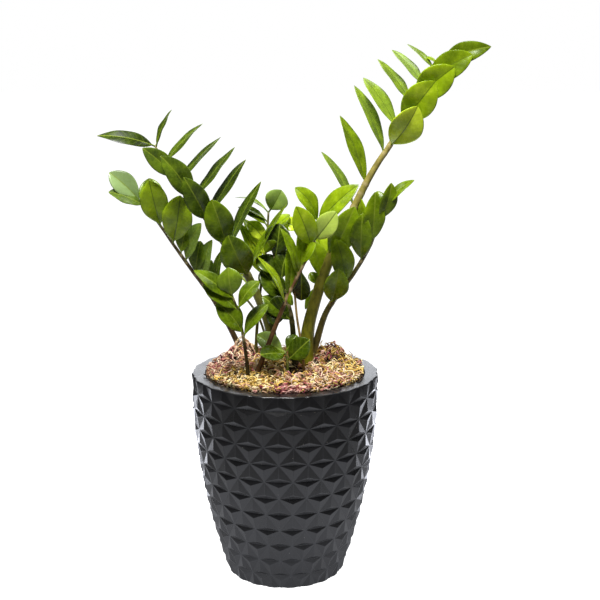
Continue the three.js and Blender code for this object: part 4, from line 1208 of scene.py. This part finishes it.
def waxy_leaf(name):
    """ZZ leaf, thick and waxed, which gives it broad glossy highlights. Its green runs from near
    black to yellow-green by tone, which carries painted light too, with painted sheen where it is
    pale, a sunk midrib painted darker on bright leaflets for the shade in its groove, faint side
    veins and cloudy mottling."""
    made, tree = bare_material(name)
    marks = {mark: add_node(tree, "ShaderNodeAttribute", attribute_type="GEOMETRY",
                            attribute_name=mark).outputs["Fac"]
             for mark in ("across_mm", "along_mm", "tone", "pale", "underside", "own")}
    place = add_node(tree, "ShaderNodeTexCoord").outputs["Object"]
    clouds = add_node(tree, "ShaderNodeTexNoise",
                      {"Vector": place, "Scale": per_metre(LEAF_CLOUD), "Detail": 1.5, "Roughness": 0.5})
    mottle = add_node(tree, "ShaderNodeTexNoise",
                      {"Vector": place, "Scale": per_metre(LEAF_MOTTLE), "Detail": 1.0, "Roughness": 0.5})
    from_rib = add_node(tree, "ShaderNodeMath", {0: marks["across_mm"]}, operation="ABSOLUTE").outputs[0]
    swept = add_node(tree, "ShaderNodeMath", {0: from_rib, 1: VEIN_SWEEP, 2: marks["along_mm"]},
                     operation="MULTIPLY_ADD").outputs[0]
    wavy = add_node(tree, "ShaderNodeMath", {0: clouds.outputs[0], 1: VEIN_WANDER, 2: swept},
                    operation="MULTIPLY_ADD").outputs[0]
    turns = add_node(tree, "ShaderNodeMath", {0: wavy, 1: 2 * math.pi / VEIN_SPACING},
                     operation="MULTIPLY").outputs[0]
    ripple = add_node(tree, "ShaderNodeMath", {0: turns}, operation="SINE").outputs[0]
    vein = add_node(tree, "ShaderNodeMapRange",
                    {"Value": ripple, "From Min": VEIN_FROM, "From Max": 1.0, "To Min": 0.0, "To Max": 1.0})
    by_cloud = add_node(tree, "ShaderNodeMapRange",
                        {"Value": clouds.outputs[0], "From Min": 0.3, "From Max": 0.7,
                         "To Min": -CLOUD_TONE, "To Max": CLOUD_TONE})
    by_mottle = add_node(tree, "ShaderNodeMapRange",
                         {"Value": mottle.outputs[0], "From Min": 0.3, "From Max": 0.7,
                          "To Min": -MOTTLE_TONE, "To Max": MOTTLE_TONE})
    level = add_node(tree, "ShaderNodeMath", {0: marks["tone"], 1: by_cloud.outputs[0]}, operation="ADD")
    level = add_node(tree, "ShaderNodeMath", {0: level.outputs[0], 1: by_mottle.outputs[0]}, operation="ADD")
    by_leaf = add_node(tree, "ShaderNodeMapRange",
                       {"Value": marks["own"], "From Min": 0.0, "From Max": 1.0,
                        "To Min": -OWN_TONE, "To Max": OWN_TONE})
    level = add_node(tree, "ShaderNodeMath", {0: level.outputs[0], 1: by_leaf.outputs[0]}, operation="ADD")
    # the tone is partly the leaflet's own green and partly painted light, high where a leaflet is lit
    # through from behind
    green = add_node(tree, "ShaderNodeValToRGB", {0: level.outputs[0]},
                     stops=[(0.0, "#222f04"), (0.25, "#425606"), (0.5, "#718a0c"), (0.75, "#9db914"),
                            (1.0, "#cfe436")])
    veiny = add_node(tree, "ShaderNodeMath", {0: vein.outputs[0], 1: VEIN_COVER}, operation="MULTIPLY")
    veined = add_node(tree, "ShaderNodeMix",
                      {"Factor": veiny.outputs[0], 6: green.outputs[0], 7: to_linear("#84991f")},
                      data_type="RGBA")
    # painted sheen: the pale mark mixes a greyish pale green over the blade in place of its gloss
    with_painted_sheen = add_node(tree, "ShaderNodeMix",
                     {"Factor": marks["pale"], 6: veined.outputs[2], 7: to_linear("#a4c07c")},
                     data_type="RGBA")
    lower = add_node(tree, "ShaderNodeMath", {0: marks["underside"], 1: UNDERSIDE_PALENESS},
                     operation="MULTIPLY")
    backed = add_node(tree, "ShaderNodeMix",
                      {"Factor": lower.outputs[0], 6: with_painted_sheen.outputs[2], 7: to_linear("#a9c07a")},
                      data_type="RGBA")
    rib = add_node(tree, "ShaderNodeMapRange",
                   {"Value": from_rib, "From Min": RIB_EDGE[0], "From Max": RIB_EDGE[1],
                    "To Min": RIB_COVER, "To Max": 0.0})
    # painted shade: on a bright leaflet the sunk midrib is coloured darker than its blade; on a dark one it
    # keeps its own pale green
    rib_shade = add_node(tree, "ShaderNodeMapRange",
                     {"Value": marks["tone"], "From Min": RIB_SHADE_TONE[0], "From Max": RIB_SHADE_TONE[1],
                      "To Min": 0.0, "To Max": 1.0})
    rib_tint = add_node(tree, "ShaderNodeMix",
                        {"Factor": rib_shade.outputs[0], 6: to_linear("#8c9d30"), 7: to_linear("#445a10")},
                        data_type="RGBA")
    ribbed = add_node(tree, "ShaderNodeMix",
                      {"Factor": rib.outputs[0], 6: backed.outputs[2], 7: rib_tint.outputs[2]},
                      data_type="RGBA")
    waxed = add_node(tree, "ShaderNodeMapRange",
                     {"Value": mottle.outputs[0], "From Min": 0.3, "From Max": 0.7,
                      "To Min": WAX_ROUGHNESS[0], "To Max": WAX_ROUGHNESS[1]})
    height = add_node(tree, "ShaderNodeMath",
                      {0: vein.outputs[0], 1: VEIN_SINKING, 2: mottle.outputs[0]},
                      operation="MULTIPLY_ADD")
    bump = add_node(tree, "ShaderNodeBump",
                    {"Height": height.outputs[0], "Strength": 0.1, "Distance": 0.0006})
    shader = add_node(tree, "ShaderNodeBsdfPrincipled",
                      {"Base Color": ribbed.outputs[2], "Roughness": waxed.outputs[0], "IOR": LEAF_IOR,
                       "Normal": bump.outputs[0]})
    add_node(tree, "ShaderNodeOutputMaterial", {"Surface": shader.outputs[0]})
    return made


# %% Make the fronds
leaf_finish = {"young_leaf": waxy_leaf("young_waxy_leaf"), "old_leaf": waxy_leaf("old_waxy_leaf")}
dice = np.random.default_rng(SEED + 1)
for name, frond in FRONDS.items():
    curve = stem_curve(frond["stem"])
    points, faces, marks = stalk_points(frond, curve)
    dry = frond["slot"] == "dried_stalk"
    skin = stalk_skin(name.replace("frond", "stalk") + "_skin", *frond["skin"],
                      DRY_STRAW if dry else WAXY_STALK)
    make_piece(name + ("_straw" if dry else "_stalk"), points, faces, name, skin, marks)
    if frond["leaflets"]:
        points, faces, marks = leaflet_points(frond, curve, dice)
        make_piece(name + "_leaflets", points, faces, name,
                   leaf_finish[frond["slot"]], marks)

# %% [markdown]
# ## Floor
# A plain floor carries the pot, and the camera sees it white. The pot's facets that look down
# mirror it, though, and a floor that glowed evenly would turn them all grey. So its light is
# shaped: a pool round the pot, dimmer close to its foot and behind it, and a brighter strip further
# back, which shows in the slivers along both sides of the pot.

# %% Floor
FLOOR_SIZE = 60.0              # metres, as all of these are, so that its edge is far away
FLOOR_DROP = 0.0004
POOL_EDGE = (0.15, 0.6)        # from the pot's axis: the pool is full, has ended
POOL_GLOW = 1.15
FOOT_EDGE = (0.1, 0.3)         # from the axis: the pool is dimmed by the pot, is no longer
FOOT_SHARE = 0.5
AHEAD_EDGE = (-0.15, 0.05)     # along Y: the pool is full in front, dimmed behind
BEHIND_SHARE = 0.45
STRIP_START = (0.2, 0.42)      # along Y: the strip begins, is full
STRIP_END = (0.7, 1.1)         # from the axis: it begins to fade, has ended
STRIP_GLOW = 4.2
CAMERA_GLOW = 1.0              # what the camera sees besides, which makes it white
PAPER_TINT = "#f1f4ff"         # cool, as the light of the wall

floor_mesh = bpy.data.meshes.new("studio_floor")
half = FLOOR_SIZE / 2
floor_corners = [(x * half, y * half, -FLOOR_DROP) for x, y in ((-1, -1), (1, -1), (1, 1), (-1, 1))]
floor_mesh.from_pydata(floor_corners, [], [(0, 1, 2, 3)])
paper, tree = bare_material("white_paper_sweep")
spot = add_node(tree, "ShaderNodeTexCoord").outputs["Object"]
from_axis = add_node(tree, "ShaderNodeVectorMath", {0: spot}, operation="LENGTH").outputs["Value"]
along_y = add_node(tree, "ShaderNodeSeparateXYZ", {0: spot}).outputs["Y"]
near = add_node(tree, "ShaderNodeMapRange",
                {"Value": from_axis, "From Min": STRIP_END[0], "From Max": STRIP_END[1],
                 "To Min": 1.0, "To Max": 0.0})
behind = add_node(tree, "ShaderNodeMapRange",
                  {"Value": along_y, "From Min": STRIP_START[0], "From Max": STRIP_START[1],
                   "To Min": 0.0, "To Max": STRIP_GLOW})
pool = add_node(tree, "ShaderNodeMapRange",
                {"Value": from_axis, "From Min": POOL_EDGE[0], "From Max": POOL_EDGE[1],
                 "To Min": POOL_GLOW, "To Max": 0.0})
foot = add_node(tree, "ShaderNodeMapRange",
                {"Value": from_axis, "From Min": FOOT_EDGE[0], "From Max": FOOT_EDGE[1],
                 "To Min": FOOT_SHARE, "To Max": 1.0})
ahead = add_node(tree, "ShaderNodeMapRange",
                 {"Value": along_y, "From Min": AHEAD_EDGE[0], "From Max": AHEAD_EDGE[1],
                  "To Min": 1.0, "To Max": BEHIND_SHARE})
pool = add_node(tree, "ShaderNodeMath", {0: pool.outputs[0], 1: foot.outputs[0]}, operation="MULTIPLY")
pool = add_node(tree, "ShaderNodeMath", {0: pool.outputs[0], 1: ahead.outputs[0]}, operation="MULTIPLY")
lit = add_node(tree, "ShaderNodeMath",
               {0: behind.outputs[0], 1: near.outputs[0], 2: pool.outputs[0]}, operation="MULTIPLY_ADD")
seen = add_node(tree, "ShaderNodeLightPath").outputs["Is Camera Ray"]
shine = add_node(tree, "ShaderNodeMath", {0: seen, 1: CAMERA_GLOW, 2: lit.outputs[0]},
                 operation="MULTIPLY_ADD")
cool = add_node(tree, "ShaderNodeMix", {"Factor": seen, 6: to_linear(PAPER_TINT), 7: WHITE},
                data_type="RGBA")
shader = add_node(tree, "ShaderNodeBsdfPrincipled",
                  {"Base Color": to_linear("#707070"), "Roughness": 0.9, "Specular IOR Level": 0.2,
                   "Emission Color": cool.outputs[2], "Emission Strength": shine.outputs[0]})
add_node(tree, "ShaderNodeOutputMaterial", {"Surface": shader.outputs[0]})
floor_mesh.materials.append(paper)
floor = bpy.data.objects.new("studio_floor", floor_mesh)
scene.collection.objects.link(floor)
print("floor", FLOOR_SIZE, "m")
